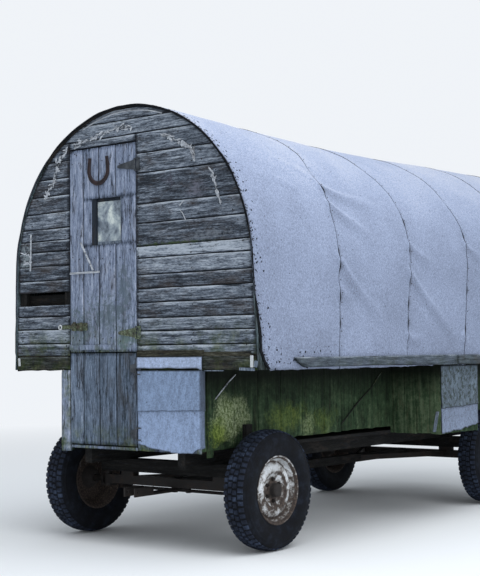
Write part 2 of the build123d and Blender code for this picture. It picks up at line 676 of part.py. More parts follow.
with BuildPart() as horseshoe:
    outer = SHOE_RADIUS
    inner = SHOE_RADIUS - SHOE_WEB
    tip = SHOE_TIP_SPREAD
    tip_in = SHOE_TIP_SPREAD - SHOE_TIP_WEB
    with BuildSketch(across_plane(FRONT)):
        with BuildLine():
            ThreePointArc((SHOE_X - outer, SHOE_Z), (SHOE_X, SHOE_Z - outer), (SHOE_X + outer, SHOE_Z))
            Line((SHOE_X + outer, SHOE_Z), (SHOE_X + tip, SHOE_Z + SHOE_ARM))
            Line((SHOE_X + tip, SHOE_Z + SHOE_ARM), (SHOE_X + tip_in, SHOE_Z + SHOE_ARM))
            Line((SHOE_X + tip_in, SHOE_Z + SHOE_ARM), (SHOE_X + inner, SHOE_Z))
            ThreePointArc((SHOE_X + inner, SHOE_Z), (SHOE_X, SHOE_Z - inner), (SHOE_X - inner, SHOE_Z))
            Line((SHOE_X - inner, SHOE_Z), (SHOE_X - tip_in, SHOE_Z + SHOE_ARM))
            Line((SHOE_X - tip_in, SHOE_Z + SHOE_ARM), (SHOE_X - tip, SHOE_Z + SHOE_ARM))
            Line((SHOE_X - tip, SHOE_Z + SHOE_ARM), (SHOE_X - outer, SHOE_Z))
        make_face()
    extrude(amount=SHOE_THICKNESS)
save(horseshoe.part, "horseshoe")

# Latch bar on its plate, with a ring at the end that reaches past the door
with BuildPart() as door_latch:
    face = FRONT - LATCH_PLATE
    top = LATCH_BOTTOM + LATCH_HEIGHT
    box((LATCH_LEFT, face - LATCH_BAR, LATCH_BOTTOM), (LATCH_RIGHT - LATCH_RING, face, top))
    box(
        (LATCH_PLATE_LEFT, face, LATCH_BOTTOM - LATCH_PLATE_MARGIN),
        (LATCH_RIGHT, FRONT, top + LATCH_PLATE_MARGIN),
    )
    with Locations(Plane(origin=(LATCH_LEFT, face, LATCH_BOTTOM + LATCH_HEIGHT / 2), z_dir=(0, -1, 0))):
        Cylinder(LATCH_RING, LATCH_BAR, align=(Align.CENTER, Align.CENTER, Align.MIN))
        Cylinder(LATCH_RING / 2, LATCH_BAR * 3, mode=Mode.SUBTRACT)
save(door_latch.part, "door_latch")

# Levels of the knuckles' ears and of the flat steering bars under the beam
EYE_HEIGHT = AXLE_BEAM + 10
EAR_BOTTOM = AXLE_Z - EYE_HEIGHT / 2 - TOUCH_GAP - KNUCKLE_EAR
STEER_BOTTOM = EAR_BOTTOM
STEER_TOP = STEER_BOTTOM + STEER_BAR
PIN_NUT = 10.0

# Axles, bolsters and reach
with BuildPart() as front_axle:
    with Locations([(0, FRONT_AXLE_Y, AXLE_Z)]):
        Box(2 * KINGPIN_X - KINGPIN_EYE_RADIUS, AXLE_BEAM, AXLE_BEAM)
    with Locations([(-KINGPIN_X, FRONT_AXLE_Y, AXLE_Z), (KINGPIN_X, FRONT_AXLE_Y, AXLE_Z)]):
        Cylinder(KINGPIN_EYE_RADIUS, EYE_HEIGHT)
        Cylinder(KINGPIN_RADIUS + PIN_CLEARANCE, EYE_HEIGHT + 2, mode=Mode.SUBTRACT)
    with Locations(
        [(-FLOOR_SILL_SPREAD / 2, FRONT_AXLE_Y, BEAM_TOP), (FLOOR_SILL_SPREAD / 2, FRONT_AXLE_Y, BEAM_TOP)]
    ):
        Box(AXLE_PAD_WIDTH, AXLE_BEAM, AXLE_PAD_HEIGHT, align=(Align.CENTER, Align.CENTER, Align.MIN))
    below = (Align.CENTER, Align.CENTER, Align.MAX)
    with Locations([(0, FRONT_AXLE_Y, AXLE_Z - AXLE_BEAM / 2)]):
        Cylinder(CENTRE_BOSS_RADIUS, AXLE_Z - AXLE_BEAM / 2 - STEER_TOP - TOUCH_GAP, align=below)
    with Locations([(0, FRONT_AXLE_Y, STEER_TOP + TOUCH_GAP)]):
        Cylinder(KINGPIN_RADIUS, STEER_BAR + 2 * TOUCH_GAP + PIN_NUT, align=below)
    with Locations([(0, FRONT_AXLE_Y, STEER_BOTTOM - TOUCH_GAP)]):
        Cylinder(CENTRE_NUT_RADIUS, PIN_NUT, align=below)
save(front_axle.part, "front_axle")

with BuildPart() as rear_axle:
    with Locations([(0, REAR_AXLE_Y, AXLE_Z)]):
        Box(2 * KINGPIN_X + REAR_BEAM_EXTRA, AXLE_BEAM, AXLE_BEAM)
        Cylinder(SPINDLE_RADIUS, 2 * (KINGPIN_X + SPINDLE_LENGTH), rotation=(0, 90, 0))
    with Locations(
        [(-FLOOR_SILL_SPREAD / 2, REAR_AXLE_Y, BEAM_TOP), (FLOOR_SILL_SPREAD / 2, REAR_AXLE_Y, BEAM_TOP)]
    ):
        Box(AXLE_PAD_WIDTH, AXLE_BEAM, AXLE_PAD_HEIGHT, align=(Align.CENTER, Align.CENTER, Align.MIN))
save(rear_axle.part, "rear_axle")

with BuildPart() as bolsters:
    for y in (FRONT_AXLE_Y, REAR_AXLE_Y):
        half = BOX_HALF + TOUCH_GAP + STAKE_THICKNESS
        box((-half, y - BOLSTER_DEPTH / 2, BOLSTER_BOTTOM), (half, y + BOLSTER_DEPTH / 2, BOLSTER_TOP))
save(bolsters.part, "bolsters")

# Stakes on the bolsters' ends that hold the lower box between them
with BuildPart() as bolster_stakes:
    for y in (FRONT_AXLE_Y, REAR_AXLE_Y):
        for side in (-1, 1):
            near = BOX_HALF + TOUCH_GAP
            xs = sorted((side * near, side * (near + STAKE_THICKNESS)))
            box(
                (xs[0], y - STAKE_WIDTH / 2, BOLSTER_TOP),
                (xs[1], y + STAKE_WIDTH / 2, BOLSTER_TOP + STAKE_HEIGHT),
            )
save(bolster_stakes.part, "bolster_stakes")

REACH_START = FRONT_AXLE_Y + AXLE_BEAM / 2
REACH_END = REAR_AXLE_Y - AXLE_BEAM / 2
REACH_Z = AXLE_Z + REACH_RISE
with BuildPart() as reach_pole:
    box(
        (-REACH_WIDTH / 2, REACH_START, REACH_Z - REACH_HEIGHT / 2),
        (REACH_WIDTH / 2, REACH_END, REACH_Z + REACH_HEIGHT / 2),
    )
save(reach_pole.part, "reach_pole")

# Hounds: braces that spread from the reach to each axle
with BuildPart() as hounds:
    for axle, toward in ((REACH_START, 1), (REACH_END, -1)):
        for side in (-1, 1):
            with BuildSketch(Plane.XY.offset(REACH_Z - BRACE_SIZE / 2)):
                with BuildLine():
                    Polyline(
                        (side * HOUND_SPREAD, axle),
                        (side * (HOUND_SPREAD - BRACE_SIZE), axle),
                        (side * REACH_WIDTH / 2, axle + toward * (HOUND_LENGTH - BRACE_ROOT)),
                        (side * REACH_WIDTH / 2, axle + toward * HOUND_LENGTH),
                        close=True,
                    )
                make_face()
            extrude(amount=BRACE_SIZE)
save(hounds.part, "hounds")

# Steering: a plate that the tongue turns, two knuckles and the tie rod between them
PIN_Y = FRONT_AXLE_Y - TONGUE_PIN_FORWARD
JAW_OUT = JAW_GAP / 2 + JAW_EAR
with BuildPart() as steering_plate:
    with BuildSketch(Plane.XY.offset(STEER_BOTTOM)):
        with BuildLine():
            Polyline(
                (-PLATE_TAIL, FRONT_AXLE_Y + STEER_ARM + ARM_END),
                (PLATE_TAIL, FRONT_AXLE_Y + STEER_ARM + ARM_END),
                (PLATE_WAIST, FRONT_AXLE_Y),
                (JAW_OUT, FRONT_AXLE_Y - PLATE_FLARE),
                (JAW_OUT, PIN_Y + JAW_THROAT),
                (-JAW_OUT, PIN_Y + JAW_THROAT),
                (-JAW_OUT, FRONT_AXLE_Y - PLATE_FLARE),
                (-PLATE_WAIST, FRONT_AXLE_Y),
                close=True,
            )
        make_face()
        with Locations([(0, FRONT_AXLE_Y)]):
            Circle(KINGPIN_RADIUS + PIN_CLEARANCE, mode=Mode.SUBTRACT)
        with Locations([(0, FRONT_AXLE_Y + STEER_ARM)]):
            Circle(TIE_PIN_RADIUS + PIN_CLEARANCE, mode=Mode.SUBTRACT)
    extrude(amount=STEER_BAR)
    for side in (-1, 1):
        xs = sorted((side * JAW_GAP / 2, side * JAW_OUT))
        box((xs[0], PIN_Y - JAW_NOSE, STEER_BOTTOM), (xs[1], PIN_Y + JAW_LENGTH, STEER_TOP + JAW_HEIGHT))
    with Locations([(0, PIN_Y, STEER_TOP + PIN_ABOVE_PLATE)]):
        Cylinder(TONGUE_PIN_RADIUS, JAW_GAP * 3, rotation=(0, 90, 0), mode=Mode.SUBTRACT)
save(steering_plate.part, "steering_plate")

with BuildPart() as tie_rod:
    rod_z = STEER_BOTTOM - TOUCH_GAP - TIE_EYE_HEIGHT / 2
    y = FRONT_AXLE_Y + STEER_ARM
    with Locations([(0, y, rod_z)]):
        Cylinder(TIE_ROD_RADIUS, 2 * KINGPIN_X, rotation=(0, 90, 0))
    for x in (-KINGPIN_X, 0, KINGPIN_X):
        with Locations([(x, y, rod_z)]):
            Cylinder(TIE_EYE_RADIUS, TIE_EYE_HEIGHT)
        with Locations([(x, y, STEER_TOP + TIE_PIN_HEAD)]):
            Cylinder(TIE_PIN_RADIUS, TIE_PIN_LENGTH, align=below)
save(tie_rod.part, "tie_rod")


def knuckle(side):
    """Yoke round the axle's eye with its kingpin, wheel spindle and steering arm."""
    x = side * KINGPIN_X
    web_x = KINGPIN_EYE_RADIUS + YOKE_GAP
    half = YOKE_WIDTH / 2
    with BuildPart() as piece:
        for z in (EAR_BOTTOM + KNUCKLE_EAR / 2, 2 * AXLE_Z - EAR_BOTTOM - KNUCKLE_EAR / 2):
            with Locations([(x, FRONT_AXLE_Y, z)]):
                Cylinder(KINGPIN_EYE_RADIUS, KNUCKLE_EAR)
            xs = sorted((x, x + side * (web_x + YOKE_WEB)))
            low = (xs[0], FRONT_AXLE_Y - half, z - KNUCKLE_EAR / 2)
            box(low, (xs[1], FRONT_AXLE_Y + half, z + KNUCKLE_EAR / 2))
        xs = sorted((x + side * web_x, x + side * (web_x + YOKE_WEB)))
        low = (xs[0], FRONT_AXLE_Y - half, EAR_BOTTOM)
        box(low, (xs[1], FRONT_AXLE_Y + half, 2 * AXLE_Z - EAR_BOTTOM))
        with Locations([(x, FRONT_AXLE_Y, AXLE_Z)]):
            Cylinder(KINGPIN_RADIUS, 2 * (AXLE_Z - EAR_BOTTOM))
        with Locations([(x + side * (web_x + SPINDLE_ROOT), FRONT_AXLE_Y, AXLE_Z)]):
            Cylinder(
                SPINDLE_RADIUS,
                SPINDLE_LENGTH - web_x - SPINDLE_ROOT,
                rotation=(0, side * 90, 0),
                align=(Align.CENTER, Align.CENTER, Align.MIN),
            )
        arm_end = FRONT_AXLE_Y + STEER_ARM + ARM_END
        box((x - ARM_HALF, FRONT_AXLE_Y, STEER_BOTTOM), (x + ARM_HALF, arm_end, STEER_TOP))
        with Locations([(x, FRONT_AXLE_Y + STEER_ARM, STEER_TOP)]):
            Cylinder(TIE_PIN_RADIUS + PIN_CLEARANCE, 4 * STEER_BAR, mode=Mode.SUBTRACT)
    return piece.part


save(knuckle(1), "knuckle_left")
save(knuckle(-1), "knuckle_right")


# Wheels: a pressed disc in a rim, with the hub, and the tyre round it
def wheel(x, y, side):
    """Rim, dished disc and hub, turned about the spindle. Columns: outward from the centre, radius."""
    plane = Plane(origin=(x, y, AXLE_Z), x_dir=(side, 0, 0), z_dir=(0, -1, 0))
    half = BEAD_WIDTH / 2
    flange = RIM_FLANGE_RADIUS
    seat = BEAD_RADIUS
    well = RIM_WELL_RADIUS
    skin = DISC_THICKNESS
    rim = [
        (half + 8, flange),
        (half + 3, flange - 2),
        (half, seat),
        (30, seat - 4),
        (22, well),
        (-22, well),
        (-30, seat - 4),
        (-half, seat),
        (-half - 3, flange - 2),
        (-half - 8, flange),
        (-half - 8, flange - skin),
        (-half - 5, seat - skin),
        (-34, seat - 4 - skin),
        (-26, well - skin),
        (26, well - skin),
        (34, seat - 4 - skin),
        (half + 5, seat - skin),
        (half + 8, flange - skin),
    ]
    bore = SPINDLE_RADIUS + PIN_CLEARANCE
    disc = [
        (24, well - skin / 2),
        (40, well - 20),
        (54, 142),
        (55, 124),
        (44, 104),
        (30, 92),
        (28, 60),
        (30, CAP_RADIUS + 8),
        (42, CAP_RADIUS),
        (CAP_REACH - 10, CAP_RADIUS),
        (CAP_REACH, CAP_RADIUS - 12),
        (CAP_REACH, 0),
        (CAP_REACH - 8, 0),
        (CAP_REACH - 8, bore),
        (-45, bore),
        (-45, HUB_RADIUS),
        (16, HUB_RADIUS + 30),
        (22, HUB_RADIUS + 50),
        (38, 108),
        (48, 126),
        (47, 140),
        (34, well - 24),
        (18, well - skin / 2),
    ]
    with BuildPart() as piece:
        for profile in (rim, disc):
            with BuildSketch(plane):
                with BuildLine():
                    Polyline(*profile, close=True)
                make_face()
        revolve(axis=Axis((x, y, AXLE_Z), (1, 0, 0)))
    return piece.part


def tyre(x, y, side):
    """Rubber ring: tread, shoulders, sidewalls and beads. Columns: outward from the centre, radius."""
    plane = Plane(origin=(x, y, AXLE_Z), x_dir=(side, 0, 0), z_dir=(0, -1, 0))
    bead = BEAD_RADIUS + TOUCH_GAP
    height = TYRE_RADIUS - bead
    half_profile = [
        (BEAD_WIDTH / 2 - TOUCH_GAP, bead),
        (BEAD_WIDTH / 2 - TOUCH_GAP, bead + 14),
        (TYRE_WIDTH * 0.46, bead + height * 0.28),
        (TYRE_WIDTH / 2, bead + height * 0.5),
        (TYRE_WIDTH * 0.47, bead + height * 0.74),
        (TREAD_WIDTH / 2, TYRE_RADIUS - 9),
        (TREAD_WIDTH / 5, TYRE_RADIUS),
    ]
    other_half = [(-across, radius) for across, radius in reversed(half_profile)]
    with BuildPart() as piece:
        with BuildSketch(plane):
            with BuildLine():
                Polyline(*half_profile, *other_half, close=True)
            make_face()
        revolve(axis=Axis((x, y, AXLE_Z), (1, 0, 0)))
    return piece.part


# Wheel places: name, side, axle
WHEELS = [
    ("front_left", 1, FRONT_AXLE_Y),
    ("front_right", -1, FRONT_AXLE_Y),
    ("rear_left", 1, REAR_AXLE_Y),
    ("rear_right", -1, REAR_AXLE_Y),
]
for name, side, y in WHEELS:
    save(wheel(side * WHEEL_X, y, side), f"wheel_{name}")
    save(tyre(side * WHEEL_X, y, side), f"tyre_{name}")
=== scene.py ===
# %% [markdown]
# A herder's camp wagon: a long cabin under an arched roof of old roll roofing. Its plank end wall has a
# two-leaf door, and it stands on a narrow green box between four rubber tyres. The solids of the wagon
# come from the frame, which also says how the doors, the steering and the wheels turn. This lesson gives
# each of them the surface that weather and work have left on the real one.

import random
from math import asin, atan2, copysign, cos, dist, exp, hypot, pi, radians, sin, sqrt, tan

import bmesh
import bpy
import numpy as np
from mathutils import Matrix, Vector, noise


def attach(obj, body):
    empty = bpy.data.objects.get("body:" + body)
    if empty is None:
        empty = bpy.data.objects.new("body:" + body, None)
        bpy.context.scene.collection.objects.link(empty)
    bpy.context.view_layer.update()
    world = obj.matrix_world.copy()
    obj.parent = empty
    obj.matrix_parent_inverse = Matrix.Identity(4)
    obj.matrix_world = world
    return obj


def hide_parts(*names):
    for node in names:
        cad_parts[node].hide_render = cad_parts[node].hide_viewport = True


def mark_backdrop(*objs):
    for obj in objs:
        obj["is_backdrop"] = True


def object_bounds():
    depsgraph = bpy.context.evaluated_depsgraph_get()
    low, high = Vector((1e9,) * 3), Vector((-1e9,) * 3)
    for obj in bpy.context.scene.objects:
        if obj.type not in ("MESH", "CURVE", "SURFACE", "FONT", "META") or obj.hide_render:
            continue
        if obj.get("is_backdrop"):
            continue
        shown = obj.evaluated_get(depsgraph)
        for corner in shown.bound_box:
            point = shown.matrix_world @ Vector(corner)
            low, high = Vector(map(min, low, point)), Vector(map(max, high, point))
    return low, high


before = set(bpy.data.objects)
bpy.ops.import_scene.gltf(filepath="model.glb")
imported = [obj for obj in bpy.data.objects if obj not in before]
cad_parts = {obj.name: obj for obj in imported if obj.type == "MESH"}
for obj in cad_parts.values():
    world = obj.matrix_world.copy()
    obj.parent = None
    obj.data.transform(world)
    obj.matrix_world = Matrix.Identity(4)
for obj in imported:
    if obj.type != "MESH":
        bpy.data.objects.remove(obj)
cad_low, cad_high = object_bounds()

# %% [markdown]
# Everything is placed by a few measures in metres. They are the same ones that the solids were made
# from: the front wall's face, the arch of the roof, the door's edges and the axle's height. X is across,
# Y runs back from the door wall and Z is up from the ground.

# %% Measures of the wagon
FRONT, BACK = -2.286, 2.286
ARCH_RADIUS, ARCH_CENTRE, LEAN = 1.0441, 1.8359, radians(2.15)
CROWN = ARCH_CENTRE + ARCH_RADIUS
SPRING_X = ARCH_RADIUS * cos(LEAN)
SPRING_Z = ARCH_CENTRE + ARCH_RADIUS * sin(LEAN)
EAVE, BENCH_TOP, BOX_BOTTOM, BOX_SIDE = 1.15, 1.245, 0.63, 0.61
PLANK = 0.022
DOOR_LEFT, DOOR_RIGHT, DOOR_TOP, DOOR_SPLIT = -0.521, 0.083, 2.633, 1.265
DOOR_GAP = 0.007
AXLE_Z, WHEEL_X, FRONT_AXLE, REAR_AXLE = 0.383, 0.79, FRONT + 0.465, FRONT + 3.485
SEAM_SPACING, LAP_HALF = 0.864, 0.025
SAG = [(1, 0.03), (2, 0.05), (3, 0.044), (4, 0.015), (5, 0)]


def drop_at(y):
    """How far the crown has sunk at y: level over each bow and straight between them."""
    along = [FRONT, FRONT + 0.06]
    down = [0, 0]
    for number, drop in SAG:
        seam = FRONT + number * SEAM_SPACING
        along += [seam - LAP_HALF, seam + LAP_HALF]
        down += [drop, drop]
    return float(np.interp(y, [*along, BACK - 0.06, BACK], [*down, 0, 0]))


def arch(drop, inset=0):
    """The arch's radius and the height of its centre, measured inside by inset."""
    rise = CROWN - drop - SPRING_Z
    radius = (SPRING_X**2 + rise**2) / (2 * rise) - inset
    return radius, CROWN - drop - inset - radius


def half_width(z, inset=0, drop=0):
    """The cabin's half width at height z, with the crown sunk by drop."""
    if z <= SPRING_Z:
        return SPRING_X + (SPRING_Z - z) * tan(LEAN) - inset
    radius, centre = arch(drop, inset)
    return sqrt(max(radius**2 - (z - centre) ** 2, 0))


print("half width at the eave and 2.4 m up:", round(half_width(EAVE), 3), round(half_width(2.4), 3))

# %% [markdown]
# Most pieces here are meshes written point by point, because old timber and roofing have no straight
# edge left. One helper turns lists of points and faces into an object whose place is in its mesh. It also
# stores numbers at the points, such as a board's tint, for the materials to read.


# %% Make and hang pieces
def added(name, data):
    """A new object in the scene."""
    made = bpy.data.objects.new(name, data)
    bpy.context.scene.collection.objects.link(made)
    return made


def mesh_piece(name, points, faces, finish, values=None, smooth=False):
    """A mesh object at the origin, with named numbers stored at its points."""
    mesh = bpy.data.meshes.new(name)
    mesh.from_pydata([tuple(p) for p in points], [], faces)
    for label, numbers in (values or {}).items():
        mesh.attributes.new(label, "FLOAT", "POINT").data.foreach_set("value", numbers)
    work = bmesh.new()
    work.from_mesh(mesh)
    bmesh.ops.recalc_face_normals(work, faces=work.faces)
    work.to_mesh(mesh)
    work.free()
    mesh.materials.append(finish)
    mesh.polygons.foreach_set("use_smooth", [smooth] * len(mesh.polygons))
    mesh.update()
    return added(name, mesh)


def hang(piece, node=None, body="wagon"):
    """Let a piece ride on a body, and hide the solid that it stands for."""
    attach(piece, body)
    if node:
        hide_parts(node)
    print(piece.name, len(piece.data.polygons), "faces")


def wander(*numbers):
    """Smooth noise between about -1 and 1 at a place given by up to three numbers."""
    return noise.noise(Vector((*numbers, 0.37, 0.71)[:3]))


# %% [markdown]
# A material is a small tree of nodes. The helper class below keeps the wiring short. Every pattern reads
# Object coordinates, so it stays put when a door swings or a wheel turns, and the grain of a board is
# ordinary noise squeezed across the board and stretched along it.


# %% A short way to wire a material
def add_node(tree, kind, inputs=None, **settings):
    """A node in a tree. Its inputs are plain values, other nodes or their sockets."""
    made = tree.nodes.new(kind)
    for key, value in settings.items():
        setattr(made, key, value)
    for key, value in (inputs or {}).items():
        if isinstance(value, bpy.types.Node):
            value = value.outputs[0]
        if isinstance(value, bpy.types.NodeSocket):
            tree.links.new(value, made.inputs[key])
        else:
            made.inputs[key].default_value = value
    return made


class Finish:
    """A material under construction: its nodes, and the colour, bump and roughness put together."""

    def __init__(self, name):
        self.material = bpy.data.materials.new(name)
        self.material.use_nodes = True
        self.tree = self.material.node_tree
        self.tree.nodes.clear()
        self.place = self.node("ShaderNodeTexCoord").outputs["Object"]

    def node(self, kind, inputs=None, **settings):
        return add_node(self.tree, kind, inputs, **settings)

    def stretched(self, scale, shift=(0, 0, 0), vector=None):
        """The place on the object, scaled for a pattern that runs along one axis."""
        inputs = {"Vector": vector or self.place, "Scale": scale, "Location": shift}
        return self.node("ShaderNodeMapping", inputs).outputs["Vector"]

    def board_place(self, scale):
        """As stretched, but moved far off for each board, so that no grain runs from one to the next."""
        tint = self.number("tint")
        shift = self.node("ShaderNodeCombineXYZ", {"X": tint, "Y": tint, "Z": tint}).outputs["Vector"]
        far = self.node("ShaderNodeVectorMath", {0: shift, "Scale": 31}, operation="SCALE").outputs[0]
        moved = self.node("ShaderNodeVectorMath", {0: self.place, 1: far}, operation="ADD").outputs[0]
        return self.stretched(scale, vector=moved)

    def number(self, label):
        """A number stored at the points of the mesh."""
        return self.node("ShaderNodeAttribute", attribute_name=label).outputs["Fac"]

    def noise(self, scale, detail=6, rough=0.6, distortion=0, vector=None):
        inputs = {"Vector": vector or self.place, "Scale": scale, "Detail": detail, "Roughness": rough}
        return self.node("ShaderNodeTexNoise", {**inputs, "Distortion": distortion}).outputs["Fac"]

    def grain(self, axis, along, across, scale, *look):
        """Noise drawn out along one axis, different on each board."""
        drawn = tuple(along if name == axis else across for name in "XYZ")
        return self.noise(scale, *look, vector=self.board_place(drawn))

    def spots(self, vector, scale):
        """Distance to the nearest of many scattered points."""
        return self.node("ShaderNodeTexVoronoi", {"Vector": vector, "Scale": scale}).outputs["Distance"]

    def span(self, value, low, high, to_low=0, to_high=1):
        """Stretch part of a value's range over a new one, and clamp it there."""
        inputs = {"Value": value, "From Min": low, "From Max": high, "To Min": to_low, "To Max": to_high}
        return self.node("ShaderNodeMapRange", inputs).outputs["Result"]

    def sum(self, a, b, operation="ADD"):
        return self.node("ShaderNodeMath", {0: a, 1: b}, operation=operation).outputs[0]

    def times(self, a, b):
        return self.sum(a, b, "MULTIPLY")

    def weigh(self, *parts):
        """Several values added up, each times its weight."""
        total = self.times(*parts[0])
        for value, weight in parts[1:]:
            total = self.sum(total, self.times(value, weight))
        return total

    def mix(self, share, a, b):
        a, b = ((*colour, 1) if isinstance(colour, tuple) else colour for colour in (a, b))
        return self.node("ShaderNodeMix", {0: share, 6: a, 7: b}, data_type="RGBA").outputs[2]

    def ramp(self, value, stops):
        """Colours at chosen values, with smooth steps between them."""
        made = self.node("ShaderNodeValToRGB", {"Fac": value})
        elements = made.color_ramp.elements
        while len(elements) < len(stops):
            elements.new(0.5)
        for element, (position, colour) in zip(elements, stops):
            element.position = position
            element.color = (*colour, 1)
        return made.outputs["Color"]

    def height(self, low, high):
        """0 below the height low and 1 above the height high."""
        z = self.node("ShaderNodeSeparateXYZ", {"Vector": self.place}).outputs["Z"]
        return self.span(z, low, high)

    def close(self, colour, bumps, rough=0.85, **fixed):
        """Join the colour, the bumps as (value, strength, distance), and the shader's own numbers."""
        normal = None
        for value, strength, distance in bumps:
            inputs = {"Height": value, "Strength": strength, "Distance": distance}
            if normal is not None:
                inputs["Normal"] = normal
            normal = self.node("ShaderNodeBump", inputs).outputs["Normal"]
        inputs = {"Base Color": colour, "Roughness": rough}
        if normal is not None:
            inputs["Normal"] = normal
        for key, value in fixed.items():
            inputs[key.replace("_", " ").title().replace("Ior", "IOR")] = value
        shader = self.node("ShaderNodeBsdfPrincipled", inputs).outputs["BSDF"]
        self.node("ShaderNodeOutputMaterial", {"Surface": shader})
        return self.material

# %% [markdown]
# The wood is where this wagon shows its age. Unpainted boards go silver, the soft grain wears into grooves
# that hold black dirt, and the edges bleach. So the colour is a ramp over stretched noise, with a finer,
# darker noise for the cracks, and each board's own tone shifts the whole. A value stored at the points also
# lightens each board's upper edge, for bleaching and as a painted highlight, and darkens its lower edge, for
# dirt and as painted shade.

# %% Weathered wood in its directions
SOOT, MOSS, LICHEN, BARK = (0.018, 0.022, 0.03), (0.035, 0.06, 0.012), (0.19, 0.21, 0.1), (0.06, 0.046, 0.038)


def stops(row):
    """A ramp's stops. Each is its value and the red, green and blue there, in thousandths."""
    numbers = [float(word) / 1000 for word in row.split()]
    return [(numbers[k], tuple(numbers[k + 1 : k + 4])) for k in range(0, len(numbers), 4)]


def far_from(material, spot, reach):
    """How far a place lies from a spot, counted in reaches. A reach of None leaves its axis out."""
    scale = tuple(1 / size if size else 0 for size in reach)
    off = material.stretched(scale, tuple(-at * factor for at, factor in zip(spot, scale)))
    return material.node("ShaderNodeVectorMath", {0: off}, operation="LENGTH").outputs["Value"]


def weathered_wood(name, axis, ramp, moss_top=None, moss=0, crack=0.75, warm=BARK, patches=()):
    """Old boards with grain along one axis."""
    wood = Finish(name)
    tone = wood.number("tone")
    streaks = wood.grain(axis, 3.5, 24, 1.6, 9, 0.72, 0.15)
    lines = wood.grain(axis, 5, 70, 1.5, 6, 0.68, 0.15)
    fine = wood.grain(axis, 24, 125, 1.9, 6, 0.76)
    blotch = wood.grain(axis, 3, 8, 1.5, 7, 0.68)
    grain = (streaks, 0.3), (lines, 0.36), (fine, 0.34)
    # The stored edge value shifts the colour: lighter upper edges, for bleaching and as a painted highlight,
    # and darker lower edges, for dirt and as painted shade.
    colour = wood.ramp(wood.weigh(*grain, (tone, 0.068), (wood.number("wear"), 0.13)), stops(ramp))
    brown = wood.span(wood.sum(blotch, wood.times(tone, -0.1)), 0.53, 0.68)
    colour = wood.mix(wood.times(brown, 0.5), colour, warm)
    veins = wood.grain(axis, 1.6, 15, 1.5, 7, 0.58, 0.25)
    off = wood.node("ShaderNodeMath", {0: wood.sum(veins, 0.5, "SUBTRACT")}, operation="ABSOLUTE").outputs[0]
    split = wood.times(wood.span(off, 0.016, 0.005), wood.span(blotch, 0.43, 0.56, 0.15, 1))
    colour = wood.mix(wood.times(split, crack), colour, SOOT)
    if moss_top:
        growth = wood.noise(7, 8, 0.7)
        low = wood.sum(1, wood.height(*moss_top), "SUBTRACT")
        share = wood.times(wood.span(growth, 0.44, 0.62), wood.times(low, moss))
        shade = wood.mix(wood.span(wood.noise(31), 0.45, 0.7), MOSS, LICHEN)
        colour = wood.mix(share, colour, shade)
    for x, z, wide, tall, patch in patches:
        reach = far_from(wood, (x, 0, z), (wide, None, tall))
        tufts = wood.sum(wood.noise(34, 8, 0.75), wood.times(reach, -0.16))
        colour = wood.mix(wood.span(tufts, 0.33, 0.47, 0, 0.8), colour, patch)
    bumps = [(streaks, 0.55, 0.004), (fine, 0.6, 0.0022), (wood.times(split, -1), 0.7, 0.003)]
    return wood.close(colour, bumps, 0.9, specular_ior_level=0.2)


# Columns: across, height, half width, half height, colour
WALL_PATCHES = [
    (0.4, 1.951, 0.34, 0.011, (0.05, 0.08, 0.03)), (-0.955, 1.925, 0.05, 0.07, (0.3, 0.35, 0.38)),
    (0.377, 2.364, 0.05, 0.045, (0.052, 0.048, 0.066)), (0.588, 2.275, 0.07, 0.05, (0.15, 0.155, 0.2)),
    (0.7, 1.99, 0.16, 0.03, (0.16, 0.18, 0.21)),
]
DOOR_STAINS = [
    (0, 1.345, 0.1, 0.055, (0.11, 0.165, 0.15)), (-0.16, 1.52, 0.2, 0.13, (0.105, 0.14, 0.165)),
    (-0.02, 1.66, 0.08, 0.2, (0.105, 0.14, 0.175)), (-0.42, 1.44, 0.09, 0.16, (0.11, 0.15, 0.17)),
]
WALL_RAMP = "420 18 22 30  474 75 92 120  528 200 235 290  592 430 480 550"
DOOR_RAMP = "400 30 40 60  455 145 180 262  525 265 315 435  600 470 520 640"
LOW_DOOR_RAMP = "390 20 30 40  455 90 120 170  530 168 218 300  610 330 390 500"
# The rough timbers under the wagon and inside it are painted nearly black, as painted shade.
SHADED_ROUGH_RAMP = "360 3 3 3  500 10 10 10  660 36 35 33"
EAVE_RAMP = "390 10 13 17  470 45 58 74  560 100 122 152  660 300 340 400"
SILL_RAMP = "430 6 8 6  485 26 30 26  540 62 71 67  610 160 180 180"
DECK_RAMP = "420 5 8 6  480 45 66 72  540 105 145 168  610 250 310 340"
BROWN_RAMP = "430 5 5 4  490 29 27 19  550 62 62 46  620 150 150 120"
INSIDE_RAMP = "300 50 40 30  500 140 115 85  720 270 230 180"
wall_wood = weathered_wood("wall_planks", "X", WALL_RAMP, (1.24, 1.5), 0.75, patches=WALL_PATCHES)
door_look = (DOOR_RAMP, (1.25, 1.5), 0.9, 0.9, (0.09, 0.085, 0.09), DOOR_STAINS)
door_wood = weathered_wood("door_boards", "Z", *door_look)
low_door_look = (LOW_DOOR_RAMP, (0.66, 0.82), 0.8, 0.9, (0.07, 0.07, 0.075))
lower_door_wood = weathered_wood("lower_door_boards", "Z", *low_door_look)
casing_wood = weathered_wood("window_casing", "Z", "400 40 50 70  500 150 190 250  600 360 410 480")
